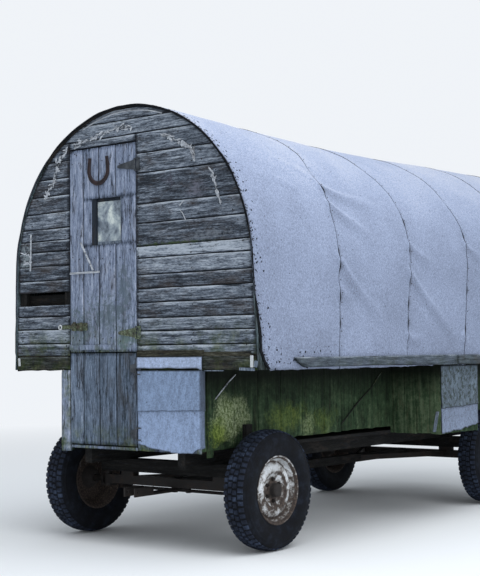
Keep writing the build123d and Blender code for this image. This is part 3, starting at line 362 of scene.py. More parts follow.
# Near-black wood for the window's left reveal and top strip: painted shade.
reveal_shade_wood = weathered_wood("window_reveal_shade", "Z", "400 6 8 12  600 30 40 56")
beam_wood = weathered_wood("rough_beams", "Y", SHADED_ROUGH_RAMP)
cross_wood = weathered_wood("cross_beams", "X", SHADED_ROUGH_RAMP)
upright_wood = weathered_wood("rough_uprights", "Z", SHADED_ROUGH_RAMP)
eave_wood = weathered_wood("eave_batten", "Y", EAVE_RAMP, (1.1, 1.3), 0.25)
deck_wood = weathered_wood("deck_edge", "Z", DECK_RAMP)
sill_wood = weathered_wood("mossy_sill", "X", SILL_RAMP, (1.17, 1.26), 0.65)
brown_wood = weathered_wood("brown_strip", "X", BROWN_RAMP)
pale_wood = weathered_wood("pale_laths", "X", "300 140 150 170  480 420 450 500  620 700 740 790")
white_wood = weathered_wood("white_paint", "Z", "360 100 110 120  460 500 530 550  620 740 770 800")
rag_cloth = weathered_wood("rag_cloth", "X", "400 90 100 110  520 240 260 290  620 500 530 570")
inside_wood = weathered_wood("bench_wood", "Y", INSIDE_RAMP)
bow_wood = weathered_wood("bow_wood", "X", INSIDE_RAMP)

# %% [markdown]
# The lower box was painted dark green long ago. What shows now is paint, moss and pale lichen that grow from
# the bottom edge up, and near black towards the top, which is painted shade under the eave. The moss is a
# second colour that noise lets through where the height allows it.

# %% Green paint with moss
GREEN_RAMP = "400 3 6 3  480 12 25 12  560 30 58 28  660 100 140 80"
# Columns: behind the front wall, height, reach along, reach up, strength, colour
MOSS_SPOTS = [
    (0.28, 0.82, 0.2, 0.17, 0.95, "pale"), (0.18, 0.74, 0.13, 0.12, 0.85, "yellow"),
    (0.4, 0.9, 0.12, 0.1, 0.5, "pale"), (0.95, 0.84, 0.26, 0.12, 0.35, "yellow"),
    (1.35, 0.78, 0.24, 0.11, 0.3, "yellow"), (1.18, 0.76, 0.1, 0.08, 0.4, "pale"),
]


def green_paint(name, axis, brown=0, light=0):
    """Old green paint on boards, painted nearly black under the eave as painted shade, and mossy towards the
    foot.
    """
    paint = Finish(name)
    streaks = paint.grain(axis, 1.2, 15, 1.7, 8, 0.66, 0.2)
    patches = paint.noise(4.5, 9, 0.66, 0.2)
    mottle = paint.noise(24, 8, 0.74)
    mixed = paint.sum(paint.times(patches, 0.2), light + 0.034)
    mixed = paint.sum(paint.weigh((streaks, 0.42), (mottle, 0.38)), mixed)
    colour = paint.ramp(mixed, stops(GREEN_RAMP))
    bare = paint.span(paint.grain(axis, 3, 26, 1.9, 7, 0.7), 0.52, 0.66)
    colour = paint.mix(paint.times(bare, 0.3 + brown), colour, (0.07, 0.07, 0.04))
    low = paint.sum(1, paint.height(0.66, 0.98), "SUBTRACT")
    tufts = paint.noise(60, 7, 0.78)
    flecks = paint.span(paint.noise(120, 5, 0.8), 0.575, 0.66)
    colour = paint.mix(paint.times(flecks, 0.55), colour, (0.09, 0.12, 0.085))
    dull = paint.times(paint.span(patches, 0.5, 0.64), paint.times(low, paint.span(tufts, 0.4, 0.62)))
    colour = paint.mix(paint.times(dull, 0.6), colour, (0.04, 0.055, 0.02))
    pale = paint.mix(paint.span(tufts, 0.43, 0.58), (0.07, 0.105, 0.025), (0.34, 0.4, 0.24))
    yellow = paint.mix(paint.span(tufts, 0.42, 0.6), (0.045, 0.08, 0.012), (0.23, 0.3, 0.06))
    for y, z, wide, tall, strength, shade in MOSS_SPOTS:
        near = paint.span(far_from(paint, (0, FRONT + y, z), (None, wide, tall)), 1.6, 0)
        grown = paint.weigh((patches, 1.1), (near, 0.62), (tufts, 0.45))
        share = paint.span(grown, 1.02, 1.26, 0, strength)
        colour = paint.mix(share, colour, pale if shade == "pale" else yellow)
    # Painted shade: from 0.9 m up the paint turns nearly black, under the eave.
    colour = paint.mix(paint.times(paint.height(0.9, 1.1), 0.93), colour, (0.003, 0.0045, 0.003))
    bumps = [(streaks, 0.5, 0.004), (tufts, 0.45, 0.004), (patches, 0.3, 0.01)]
    return paint.close(colour, bumps, 0.85, specular_ior_level=0.15)


green_side = green_paint("green_side", "Z")
# The box's end boards are painted lighter, as painted light on faces that lie in the eave's shade.
green_end = green_paint("green_box_end", "Z", 0.35, 0.06)
green_post = green_paint("green_post", "Z", 0.05)

# %% [markdown]
# Roll roofing is felt soaked in asphalt and pressed with mineral grit. From a few steps it is a cool grey
# with dark specks where the grit has gone. Close up it is sandy. Two noises far apart in scale give that,
# with scattered dark spots from a point pattern and faint stains that run down the slope. Painted light and
# shade are added on the flanks of the creases, and a painted sheen, with some bleaching, makes the roof paler
# towards the crown.


# %% Mineral roofing
def mineral_roofing(name, light, specks=1, stain=0.5, bloom=0, grime=0, crown=None):
    """Grey roofing with grit, specks and stains, with painted light and shade from the mesh's values and, on
    the roof, a painted sheen towards the crown.
    """
    felt = Finish(name)
    shades = (0.62, 1.3, 1.5, 1.7)
    dark, pale, paler, chalk = (tuple(min(1, c * factor) for c in light) for factor in shades)
    grit = felt.noise(300, 3, 0.75)
    cloud = felt.noise(1.6, 3, 0.5)
    middle = felt.noise(85, 6, 0.78)
    # The fold value lightens the upward flank of each crease and darkens the other: painted light and shade.
    parts = [(grit, 0.34), (middle, 0.5), (cloud, 0.16), (felt.number("fold_shading"), 0.035)]
    # Towards the crown the felt is painted paler and low down a little darker: a painted sky sheen, with some
    # bleaching.
    if crown:
        parts += [(felt.height(1.3, 2.25), 0.056), (felt.height(2.2, 2.9), 0.085)]
    shade = felt.weigh(*parts)
    if crown:
        shade = felt.sum(shade, -0.028)
    colour = felt.ramp(shade, [(0.43, dark), (0.5, light), (0.57, pale), (0.65, crown or pale)])
    runs = felt.noise(1.5, 5, 0.65, vector=felt.stretched((9, 9, 2.5)))
    colour = felt.mix(felt.span(runs, 0.5, 0.74, 0, stain), colour, dark)
    if bloom:
        chalky = felt.noise(1.5, 8, 0.76, vector=felt.stretched((26, 26, 11)))
        colour = felt.mix(felt.span(chalky, 0.47, 0.62, 0, bloom), colour, paler)
        colour = felt.mix(felt.span(chalky, 0.47, 0.38, 0, bloom), colour, dark)
    if grime:
        dirt = felt.noise(26, 8, 0.75)
        colour = felt.mix(felt.span(dirt, 0.49, 0.58, 0, grime), colour, (0.024, 0.036, 0.03))
    clump = felt.span(felt.noise(5, 4, 0.6), 0.42, 0.56)
    speck = felt.times(felt.span(felt.spots(felt.place, 16), 0.1, 0.06), clump)
    colour = felt.mix(felt.times(speck, min(1, 0.85 * specks)), colour, (0.03, 0.036, 0.048))
    dust = felt.span(felt.spots(felt.place, 52), 0.2, 0.12)
    colour = felt.mix(felt.times(dust, min(1, 0.5 * specks)), colour, (0.06, 0.07, 0.09))
    flecks = felt.span(felt.spots(felt.stretched((1, 1, 1), (3.3, 1.7, 0.4)), 60), 0.19, 0.11)
    colour = felt.mix(felt.times(flecks, 0.45), colour, chalk)
    # The seam value turns the felt nearly black: bare felt at the edges, and painted shade behind each lifted
    # lap and on the panels' sides.
    colour = felt.mix(felt.times(felt.number("seam"), 0.85), colour, (0.02, 0.024, 0.032))
    return felt.close(colour, [(grit, 0.5, 0.0012), (middle, 0.25, 0.003)], 0.93)


# The crown colour is the paler tone at the top of the roof: painted sheen with some bleaching.
roof_felt = mineral_roofing("roofing_felt", (0.25, 0.296, 0.418), 1, 0.1, crown=(0.52, 0.54, 0.61))
panel_felt = mineral_roofing("panel_felt", (0.24, 0.316, 0.475), 0.8, 0.35, 0.5)
upper_felt = mineral_roofing("upper_panel_felt", (0.202, 0.274, 0.415), 0.8, 0.35, 0.6)
flap_felt = mineral_roofing("flap_felt", (0.37, 0.45, 0.63), 0.8, 0.3, 0.3)
store_felt = mineral_roofing("store_felt", (0.185, 0.226, 0.318), 1.2, 0.4, 0.3, 0.25)
store_old_felt = mineral_roofing("store_old_felt", (0.1, 0.132, 0.168), 2, 1, 1, 0.95)

# %% [markdown]
# Bare felt shows black at cut edges, and the same black is painted on the faces under the lifted laps, where
# it also stands for their shade. The irons are rusty through and through, brown with orange bloom, and the
# ones at the door's middle have moss on them. Rust is never one brown, so it is a ramp over noise with its
# own pits.


# %% Felt edges, rust and mossy iron
def black_felt():
    felt = Finish("black_felt")
    fibre = felt.noise(90, 6, 0.7)
    colour = felt.ramp(fibre, stops("350 2 2.5 3.5  700 12 14 18"))
    return felt.close(colour, [(fibre, 0.4, 0.002)], 0.9, specular_ior_level=0.12)


def rusty_iron(name, ramp, moss=0, band=None):
    """Old iron. Moss may be kept to a band of heights, given as its middle and its half width."""
    iron = Finish(name)
    bloom = iron.noise(22, 8, 0.7)
    pits = iron.noise(160, 4, 0.65)
    colour = iron.ramp(bloom, stops(ramp))
    colour = iron.mix(iron.span(pits, 0.55, 0.75, 0, 0.6), colour, (0.012, 0.008, 0.007))
    if moss:
        growth = iron.noise(38, 7, 0.7)
        tips = iron.span(iron.noise(130), 0.42, 0.62)
        share = iron.span(growth, 0.54 - 0.2 * moss, 0.6)
        if band:
            z = iron.node("ShaderNodeSeparateXYZ", {"Vector": iron.place}).outputs["Z"]
            off = iron.sum(z, band[0], "SUBTRACT")
            near = iron.node("ShaderNodeMath", {0: off}, operation="ABSOLUTE").outputs[0]
            share = iron.times(share, iron.span(near, band[1], band[1] * 0.6))
        colour = iron.mix(share, colour, iron.mix(tips, (0.045, 0.064, 0.03), (0.24, 0.3, 0.2)))
    rough = iron.span(bloom, 0.3, 0.7, 0.55, 0.92)
    return iron.close(colour, [(bloom, 0.35, 0.002), (pits, 0.5, 0.0008)], rough, metallic=0.25)


GREY_RUST = "360 20 24 30  500 48 56 68  660 100 110 125"
edge_felt = black_felt()
shoe_iron = rusty_iron("horseshoe_iron", "360 12 9 11  520 30 19 22  660 60 36 38")
gear_iron = rusty_iron("running_gear_iron", "360 7 6 6  520 16 13 12  680 42 28 22")
strap_iron = rusty_iron("strap_iron", GREY_RUST)
mossy_iron = rusty_iron("mossy_iron", "360 16 13 12  500 38 27 22  660 80 50 34", 1)
post_iron = rusty_iron("hinge_post_iron", GREY_RUST, 0.8, (1.391, 0.1))

# %% [markdown]
# The wheel discs still carry thick white paint, scabbed with rust and darkest at the hub. Rust starts at
# the hub, at the nuts and along the rim's flange, so the mesh stores at each point how rusty it is. The
# tyres are old rubber: nearly black, dull and dusty.


# %% Wheel paint, rubber and glass
def wheel_paint():
    paint = Finish("wheel_paint")
    scabs = paint.noise(17, 9, 0.74, 0.3)
    fine = paint.noise(85, 6, 0.7)
    wear = paint.number("wear")
    white = paint.ramp(paint.noise(9, 5, 0.6), stops("350 420 440 460  650 740 770 810"))
    rust = paint.ramp(fine, stops("380 18 13 12  520 50 36 30  680 120 90 72"))
    low = paint.sum(0.06, paint.times(paint.height(0.26, 0.5), 0.085), "SUBTRACT")
    rusty = paint.sum(paint.weigh((scabs, 0.72), (fine, 0.28), (wear, 0.14)), low)
    share = paint.span(rusty, 0.54, 0.6)
    colour = paint.mix(paint.span(rusty, 0.48, 0.56, 0, 0.7), white, (0.22, 0.2, 0.175))
    colour = paint.mix(share, colour, rust)
    colour = paint.mix(paint.span(wear, 1.55, 1.95, 0, 0.88), colour, (0.012, 0.01, 0.01))
    rough = paint.span(rusty, 0.45, 0.62, 0.45, 0.88)
    return paint.close(colour, [(paint.times(share, -1), 0.35, 0.0012), (fine, 0.4, 0.0008)], rough)


def old_rubber(name, light):
    rubber = Finish(name)
    dust = rubber.noise(14, 8, 0.72)
    fine = rubber.noise(210, 4, 0.7)
    shades = stops("360 3 4 7  520 5.8 8.2 15  720 22 31 52")
    colour = rubber.ramp(dust, [(spot, tuple(light * c for c in shade)) for spot, shade in shades])
    return rubber.close(colour, [(dust, 0.25, 0.002), (fine, 0.4, 0.0006)], 0.82, specular_ior_level=0.2)


def dusty_glass():
    glass = Finish("dusty_glass")
    smear = glass.noise(6.5, 4, 0.5, 0.9, glass.stretched((1, 1, 1.1)))
    film = glass.noise(60, 6, 0.7)
    shades = stops("360 70 95 125  440 170 210 260  520 330 390 430  610 660 720 690")
    colour = glass.ramp(glass.weigh((smear, 0.85), (film, 0.15)), shades)
    return glass.close(colour, [(film, 0.1, 0.0005)], glass.span(film, 0.3, 0.7, 0.18, 0.45), coat_weight=0.4)


disc_paint = wheel_paint()
rubber = old_rubber("tyre_rubber", 0.55)
tread_rubber = old_rubber("tread_rubber", 2.5)
pane_glass = dusty_glass()

# %% [markdown]
# A solid that stays in view as it is still needs its own finish. Each node of the frame gets the
# material of what it is made of, with the grain the right way round for how the piece lies.

# %% Finishes for the frame's own solids
NODE_FINISH = {
    bow_wood: "roof_bows",
    upright_wood: "front_wall_frame back_wall_frame corner_posts bolster_stakes",
    beam_wood: "bench_frames box_floor floor_sills reach_pole",
    inside_wood: "bench_decks",
    green_end: "box_back_boards",
    cross_wood: "bolsters",
    gear_iron: "hounds front_axle rear_axle knuckle_left knuckle_right tie_rod steering_plate",
    post_iron: "hinge_posts",
    pane_glass: "door_window_glass back_window_glass",
    pale_wood: "back_window_frame",
}
for finish, nodes in NODE_FINISH.items():
    for node in nodes.split():
        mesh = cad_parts[node].data
        mesh.materials.clear()
        mesh.materials.append(finish)
print("finished solids:", sum(len(nodes.split()) for nodes in NODE_FINISH.values()))

# %% [markdown]
# A plank is a sheet of small faces, bent a little and worn at its edges, closed by a flat back. The class
# below gathers many planks into one mesh. A plank is given by where its own three directions point, its
# lower and upper edge, and how far left and right it reaches at each height, so that planks under the
# arch end exactly on its curve.

# %% Boards, gathered into one mesh
ROW, COLUMN = 0.009, 0.024


def grid(first, rows, columns, turned=False):
    """Faces of a grid of points that starts at a number, seen from one side or the other."""
    faces = []
    for row in range(rows):
        for a in range(first + row * (columns + 1), first + row * (columns + 1) + columns):
            face = (a, a + 1, a + columns + 2, a + columns + 1)
            faces.append(face[::-1] if turned else face)
    return faces


def rim_of(rows, columns):
    """The (row, column) places round a grid."""
    rim = [(0, i) for i in range(columns)] + [(j, columns) for j in range(rows)]
    return rim + [(rows, i) for i in range(columns, 0, -1)] + [(j, 0) for j in range(rows, 0, -1)]


def between(loop, other):
    """Faces that join a closed line of points to another."""
    return [(a, c, d, b) for a, b, c, d in zip(loop, loop[1:] + loop[:1], other, other[1:] + other[:1])]


class Boards:
    """Points and faces of many boards, with a tint, a tone and a value at each point for wear, painted
    highlight and painted shade.
    """

    def __init__(self, place, bleach_and_highlight=1):
        self.place, self.bleach_and_highlight = place, bleach_and_highlight
        self.points, self.faces = [], []
        self.values = {"tint": [], "tone": [], "wear": []}

    def board(self, low, high, left, right, depth, seed, tone=0, wave=0.0022, relief=0.0016):
        """One board from left(height) to right(height), standing between low and high, and depth thick."""
        inner = max(2, round((high - low - 0.016) / ROW))
        middle = (low + high) / 2
        steps = [0, 0.003]
        if high - low > 0.03:
            steps += [0.008 + (high - low - 0.016) * k / inner for k in range(inner + 1)]
        steps += [high - low - 0.003, high - low]
        columns = max(3, round((right(middle) - left(middle)) / COLUMN))
        first = len(self.points)
        for step in steps:
            t = step / (high - low)
            height = low + step
            for i in range(columns + 1):
                s = i / columns
                start, end = left(height), right(height)
                along = start + (end - start) * s
                side = 1 if t > 0.5 else -1
                rim = min(t, 1 - t) * (high - low)
                tip = min(s, 1 - s) * (end - start)
                ragged = wander(along * 4, seed * 3.7, side) + 0.6 * wander(along * 17, seed, side * 2)
                up = height - side * wave * (0.35 - ragged) * abs(2 * t - 1) ** 3
                worn = 0.0035 * exp(-rim / 0.005) + 0.003 * exp(-tip / 0.008)
                groove = wander(along * 2.2, height * 70, seed * 1.9)
                cup = 0.0022 * wander(along * 1.1, seed * 5.3, height * 9)
                out = relief * groove + cup - worn - 0.0015
                self.points.append(self.place(along, up, min(out, 0)))
                self.values["tint"].append(seed * 0.173 % 1)
                self.values["tone"].append(tone)
                # The upper edge is painted lighter, for bleaching and as a painted highlight where it faces
                # the light. The lower edge and the ends are painted darker, for dirt and as the painted shade
                # of the joints.
                edge_strength = 0.45 + 1.1 * wander(along * 4, seed, 4)
                bleached_and_lit = 1.5 * self.bleach_and_highlight * exp(-(((high - height) / 0.01) ** 2)) * edge_strength
                dirt_and_shade = exp(-(height - low) / 0.003) + 0.6 * exp(-tip / 0.004)
                self.values["wear"].append(bleached_and_lit - 1.1 * dirt_and_shade)
        self.close(first, steps, columns, depth, low, left, right)

    def close(self, first, steps, columns, depth, low, left, right):
        """Faces of the worn front, a flat back and the four edges."""
        rows, back = len(steps) - 1, len(self.points)
        self.faces += grid(first, rows, columns)
        rim = rim_of(rows, columns)
        for j, i in rim:
            height = low + steps[j]
            start, end = left(height), right(height)
            self.points.append(self.place(start + (end - start) * i / columns, height, -depth))
            for numbers in self.values.values():
                numbers.append(numbers[first + j * (columns + 1) + i])
        behind = list(range(back, len(self.points)))
        self.faces += between([first + j * (columns + 1) + i for j, i in rim], behind)
        self.faces.append(tuple(behind))

    def finish(self, name, finish):
        return mesh_piece(name, self.points, self.faces, finish, self.values)


def on_front(along, up, out):
    """Places a board of the front wall: out is towards -Y."""
    return (along, FRONT - out, up)


def on_back(along, up, out):
    return (-along, BACK + out, up)


def level(value, seed=0, ragged=0.003):
    """A board's end that is cut square, but not quite."""
    return lambda height: value + ragged * wander(height * 23, seed)


def arch_end(side, inset=0.0175, drop=0):
    """A board's end that follows the inside of the roof deck."""
    return lambda height: side * half_width(min(height, CROWN - drop - inset - 0.002), inset, drop)


# %% [markdown]
# The end wall's planks come from an old building and no two are the same height. The tables give each
# course's upper edge above the wall's foot and its tone, from sooty to bleached. One course is gone on
# the left. The right-hand courses run from the door post to the arch.

# %% The plank end wall
RIGHT_WALL = [
    (66, 0.1), (156, -0.1), (240, 0.1), (340, -0.3), (430, 0.05), (519, -0.55), (627, 0.35),
    (704, 0.95), (852, -0.45), (978, -0.15), (1180, -0.45), (1310, 0.05), (1444, -0.05),
]
LEFT_WALL = [
    (86, -0.3), (183, 0.4), (272, -0.05), (351, -0.3), (437, 0), (520, -0.45), (620, -0.55), (717, -0.3),
    (793, -0.6), (876, -0.1), (985, 0.15), (1100, -0.25), (1215, -0.5), (1330, -0.2), (1444, -0.25),
]
TOP_WALL = [(1545, 0.35), (1635, 0.45)]
GAP, MISSING = 0.0045, 4
WALL_INSET, UNDER_CROWN = 0.014, CROWN - 0.0185


def stack(boards, table, foot, left, right, seed, missing=None):
    """Courses one above the other, each with its own seed and tone."""
    low = foot
    for number, (edge, tone) in enumerate(table):
        high = BENCH_TOP + edge / 1000
        if number != missing:
            boards.board(low, min(high - GAP, UNDER_CROWN), left, right, PLANK, seed + number, tone)
        low = high


right_wall, left_wall, top_wall = Boards(on_front), Boards(on_front), Boards(on_front)
from_left, to_right = arch_end(-1, WALL_INSET), arch_end(1, WALL_INSET)
stack(right_wall, RIGHT_WALL, BENCH_TOP, level(DOOR_RIGHT + DOOR_GAP, 1), to_right, 3)
hang(right_wall.finish("plank_wall_right", wall_wood), "front_planks_right")

stack(left_wall, LEFT_WALL, BENCH_TOP, from_left, level(DOOR_LEFT - DOOR_GAP, 2), 31, MISSING)
hang(left_wall.finish("plank_wall_left", wall_wood), "front_planks_left")

top_foot = BENCH_TOP + RIGHT_WALL[-1][0] / 1000
stack(top_wall, TOP_WALL, top_foot, from_left, to_right, 61)
header = (DOOR_TOP + DOOR_GAP, top_foot - GAP)
top_wall.board(*header, level(DOOR_LEFT, 5), level(DOOR_RIGHT, 6), PLANK, 66, 0.1)
hang(top_wall.finish("plank_wall_top", wall_wood), "front_planks_top")

# %% [markdown]
# The back wall is built the same way round its window, from even boards. Where a course passes the
# window it is two boards, one on each side.

# %% The back wall
BACK_WINDOW = (-0.28, 0.28, BENCH_TOP + 0.56, BENCH_TOP + 0.94)
BACK_WALL = [100, 200, 300, 400, 500, 600, 700, 840, 980, 1130, 1290, 1444, 1635]
back_wall = Boards(on_back)
low = BENCH_TOP
window_low, window_high = BACK_WINDOW[2:]
for number, edge in enumerate(BACK_WALL):
    high = BENCH_TOP + edge / 1000
    top = min(high - GAP, UNDER_CROWN)
    tone = 0.4 * wander(number * 2.3, 5)
    cuts = sorted({low, top} | {z for z in (window_low, window_high) if low < z < top})
    for start, end in zip(cuts, cuts[1:]):
        if start < window_high and end > window_low:
            left_of, right_of = level(BACK_WINDOW[0], number), level(BACK_WINDOW[1], number)
            back_wall.board(start, end, arch_end(-1), left_of, PLANK, 80 + number, tone)
            back_wall.board(start, end, right_of, arch_end(1), PLANK, 100 + number, tone)
        else:
            back_wall.board(start, end, arch_end(-1), arch_end(1), PLANK, 80 + number, tone)
    low = high
hang(back_wall.finish("plank_wall_back", wall_wood), "back_planks")

# %% [markdown]
# Under the planks a rough sill crosses the ends of the benches. It is mossy on top and has rotted away
# along its lower edge.

# %% Sill boards under the walls
BENCH_OUT, SILL_TOP = 1.05, BENCH_TOP - GAP
sills, back_sill = Boards(on_front), Boards(on_back)
sills.board(EAVE, SILL_TOP, level(-BENCH_OUT, 3), level(DOOR_LEFT - DOOR_GAP, 4), PLANK, 71, -0.3, 0.006)
sills.board(EAVE, SILL_TOP, level(DOOR_RIGHT + DOOR_GAP, 5), level(BENCH_OUT, 6), PLANK, 72, -0.3, 0.007)
hang(sills.finish("front_sills", sill_wood), "sill_boards")
back_sill.board(EAVE, SILL_TOP, level(-BENCH_OUT, 7), level(BENCH_OUT, 8), PLANK, 73, 0, 0.004)
hang(back_sill.finish("back_sill", sill_wood))

# %% [markdown]
# The door is four upright boards in two leaves. Its joints stand open, and the boards are a cooler,
# smoother grey than the wall. The upper leaf has a window cut through it, so its boards are made in
# lengths that stop at the opening. Ledges hold them together inside.

# %% Door leaves
DOOR_THICK, JOINT = 0.03, 0.008
DOOR_BOARDS = [(-0.521, -0.397, 0.1), (-0.397, -0.25, -0.05), (-0.25, -0.098, 0.05), (-0.098, 0.083, -0.12)]
WINDOW = (-0.316, -0.044, 1.979, 2.29)
LEDGE_DEPTH, LEDGE_HIGH, LEDGE_INSET = 0.02, 0.09, 0.04


def upright(along, up, out):
    """Places an upright board of the front wall: its length runs up, and its width to +X."""
    return (up, FRONT - out, along)


def behind_door(along, up, out):
    """Places a ledge on the door's inner face, looking outwards from inside."""
    return (-along, FRONT + DOOR_THICK + LEDGE_DEPTH + out, up)


def leaf(name, bottom, top, finish, seed, window=None, darker=0):
    """The upright boards of one leaf, cut short where the window is."""
    boards = Boards(upright, 0.2)
    for number, (x0, x1, tone) in enumerate(DOOR_BOARDS):
        x0 += JOINT / 2 if number else 0
        x1 -= JOINT / 2 if number < len(DOOR_BOARDS) - 1 else 0
        pieces = [(x0, x1, bottom, top)]
        if window and x1 > window[0] and x0 < window[1]:
            w0, w1, sill, head = window
            pieces = [(x0, x1, bottom, sill), (x0, x1, head, top)]
            pieces += [(x0, w0, sill, head)] if x0 < w0 else []
            pieces += [(w1, x1, sill, head)] if x1 > w1 else []
        for a, b, c, d in pieces:
            ends = level(c, seed + number, 0), level(d, seed + number, 0)
            boards.board(a, b, *ends, DOOR_THICK, seed + number, tone - darker * number, 0.0012, 0.0012)
    return boards.finish(name, finish)


def ledges(name, heights, body):
    """Cross battens that hold a leaf's boards together, on the inside."""
    boards = Boards(behind_door)
    ends = level(-DOOR_RIGHT + LEDGE_INSET, 9), level(-DOOR_LEFT - LEDGE_INSET, 10)
    for number, z in enumerate(heights):
        boards.board(z, z + LEDGE_HIGH, *ends, LEDGE_DEPTH, 120 + number, 0.1)
    hang(boards.finish(name, inside_wood), body=body)


split_low, split_high = DOOR_SPLIT - DOOR_GAP / 2, DOOR_SPLIT + DOOR_GAP / 2
upper = leaf("upper_door_boards", split_high, DOOR_TOP, door_wood, 7, WINDOW)
hang(upper, "door_upper_leaf", body="door_upper")
lower = leaf("lower_door_boards", BOX_BOTTOM + 0.029, split_low, lower_door_wood, 17, None, 0.22)
hang(lower, "door_lower_leaf", body="door_lower")
ledges("upper_door_ledges", [1.3, 1.86, 2.48], "door_upper")
ledges("lower_door_ledges", [0.7, 1.13], "door_lower")

# %% [markdown]
# The window is one dusty pane set deep in the leaf. Its casing is four strips: each is a beam with its long
# edges rounded off. The left reveal and the top strip are painted near black, as painted shade; the other two
# are pale wood.


# %% Small beams with rounded edges, and the window's casing
def beam(low, high, edge=0.0025, turn=None):
    """Points and faces of a block with bevelled edges, turned by a function of the point."""
    work = bmesh.new()
    bmesh.ops.create_cube(work, size=1)
    middle = [(a + b) / 2 for a, b in zip(low, high)]
    size = [b - a for a, b in zip(low, high)]
    for vertex in work.verts:
        vertex.co = Vector([m + s * c for m, s, c in zip(middle, size, vertex.co)])
    bmesh.ops.bevel(work, geom=work.edges[:], offset=min(edge, min(size) * 0.3), segments=2, affect="EDGES")
    points = [vertex.co.copy() for vertex in work.verts]
    faces = [tuple(vertex.index for vertex in face.verts) for face in work.faces]
    work.free()
    return ([turn(p) for p in points] if turn else points), faces


def gathered(parts):
    """Several parts, each its points and faces, as one."""
    points, faces = [], []
    for more, sides in parts:
        faces += [tuple(len(points) + k for k in side) for side in sides]
        points += more
    return points, faces


def beams(name, blocks, finish, edge=0.0025):
    """Several beams as one mesh. Each block is its two corners and, if it is turned, a function."""
    parts = [beam(low, high, edge, *turn) for low, high, *turn in blocks]
    tints = [number * 0.37 % 1 for number, (points, faces) in enumerate(parts) for point in points]
    blank = [0] * len(tints)
    return mesh_piece(name, *gathered(parts), finish, {"tint": tints, "tone": blank, "wear": blank})


CASE, SHADE = 0.022, 0.04
w0, w1, z0, z1 = WINDOW
near, far = FRONT + 0.018, FRONT + DOOR_THICK
shaded = [
    ((w0 + 0.0005, FRONT + 0.006, z0 + 0.0005), (w0 + SHADE, far, z1 - 0.0005)),
    ((w0 + SHADE, near, z1 - CASE), (w1 - CASE, far, z1 - 0.0005)),
]
lit = [
    ((w1 - CASE, near, z0 + 0.0005), (w1 - 0.0005, far, z1 - 0.0005)),
    ((w0 + SHADE, near, z0 + 0.0005), (w1 - CASE, far, z0 + CASE)),
]
# These strips are painted near black: painted shade in the reveal.
hang(beams("casing_shaded", shaded, reveal_shade_wood), "door_window_frame", body="door_upper")
hang(beams("casing_lit", lit, casing_wood), body="door_upper")


# %% [markdown]
# Somebody nailed a horseshoe over the window, open end up. It is thicker at the toe than at the heels,
# has a crease for its nails and tapers at its tips. A strip of section points swept along its line gives
# that better than a flat cut-out.

# %% Horseshoe
def wrapped(rings, sides, closed=False):
    """Faces round a row of rings of points. The row is capped at both ends, or closed on itself."""
    faces = []
    for k in range(rings if closed else rings - 1):
        here, after = k * sides, (k + 1) % rings * sides
        for m in range(sides):
            n = (m + 1) % sides
            faces.append((here + m, here + n, after + n, after + m))
    if not closed:
        faces += [tuple(range(sides)), tuple((rings - 1) * sides + m for m in range(sides))]
    return faces


SHOE_X, SHOE_Z, SHOE_RADIUS, SHOE_ARM, SHOE_THICK = -0.245, 2.477, 0.0865, 0.088, 0.009
shoe_line = [(SHOE_RADIUS * 0.9, SHOE_ARM), (SHOE_RADIUS * 0.965, SHOE_ARM * 0.5)]
for step in range(25):
    angle = -pi * step / 24
    shoe_line.append((SHOE_RADIUS * cos(angle), SHOE_RADIUS * sin(angle)))
shoe_line += [(-SHOE_RADIUS * 0.965, SHOE_ARM * 0.5), (-SHOE_RADIUS * 0.9, SHOE_ARM)]
SECTION = [(-1, 0), (-1, 0.7), (-0.8, 1), (-0.25, 1), (-0.1, 0.55)]
SECTION += [(-a, b) for a, b in reversed(SECTION)]
shoe_points = []
for number, (x, z) in enumerate(shoe_line):
    before = shoe_line[max(number - 1, 0)]
    after = shoe_line[min(number + 1, len(shoe_line) - 1)]
    way = Vector((after[0] - before[0], 0, after[1] - before[1])).normalized()
    across = Vector((way.z, 0, -way.x))
    toe = 0.5 - 0.5 * z / SHOE_RADIUS
    half = 0.0118 + 0.003 * min(toe, 1)
    for a, b in SECTION:
        lift = SHOE_THICK * b * (0.9 + 0.1 * wander(x * 40, z * 40))
        base = Vector((SHOE_X + x, FRONT, SHOE_Z + z))
        uneven = 1 + 0.06 * wander(z * 30, x * 30)
        shoe_points.append(base + across * a * half * uneven - Vector((0, lift, 0)))
shoe = mesh_piece("old_horseshoe", shoe_points, wrapped(len(shoe_line), len(SECTION)), shoe_iron)
hang(shoe, "horseshoe", "door_upper")

# %% [markdown]
# The strap hinges taper to a point on the door and roll round a pin at the post. A strap is a thin
# tapered plate, and its knuckles are short tubes, with gaps between them, round the same line that the
# joint turns about.

# %% Strap hinges
HINGE_X, HINGE_Y = DOOR_RIGHT + DOOR_GAP / 2, FRONT - 0.008
HINGE_HIGH, STRAP_THICK, BARREL, BORE = 0.066, 0.004, 0.007, 0.0034


def barrel(z0, z1, sides=20):
    """Points and faces of a short upright tube round the hinge's line."""
    points = []
    for radius, height in ((BARREL, z0), (BARREL, z1), (BORE, z1), (BORE, z0)):
        for k in range(sides):
            angle = 2 * pi * k / sides
            x, y = HINGE_X + radius * cos(angle), HINGE_Y + radius * sin(angle)
            points.append(Vector((x, y, height)))
    return points, wrapped(4, sides, True)


def strap(z, long, end):
    """A tapered plate from the barrel to its tip, which is twice end high."""
    base, tip = HINGE_X - 0.004, HINGE_X - long
    half = []
    for step in range(9):
        t = step / 9
        half.append((base + (tip - base) * t, HINGE_HIGH / 2 * (1 - t) + end * t))
    half.append((tip, end * 0.9))
    outline = [(x, z + up) for x, up in half] + [(tip - 0.004, z)] + [(x, z - up) for x, up in reversed(half)]
    points = [Vector((x, y, height)) for y in (FRONT - STRAP_THICK, FRONT - 0.0002) for x, height in outline]
    return points, wrapped(2, len(outline))


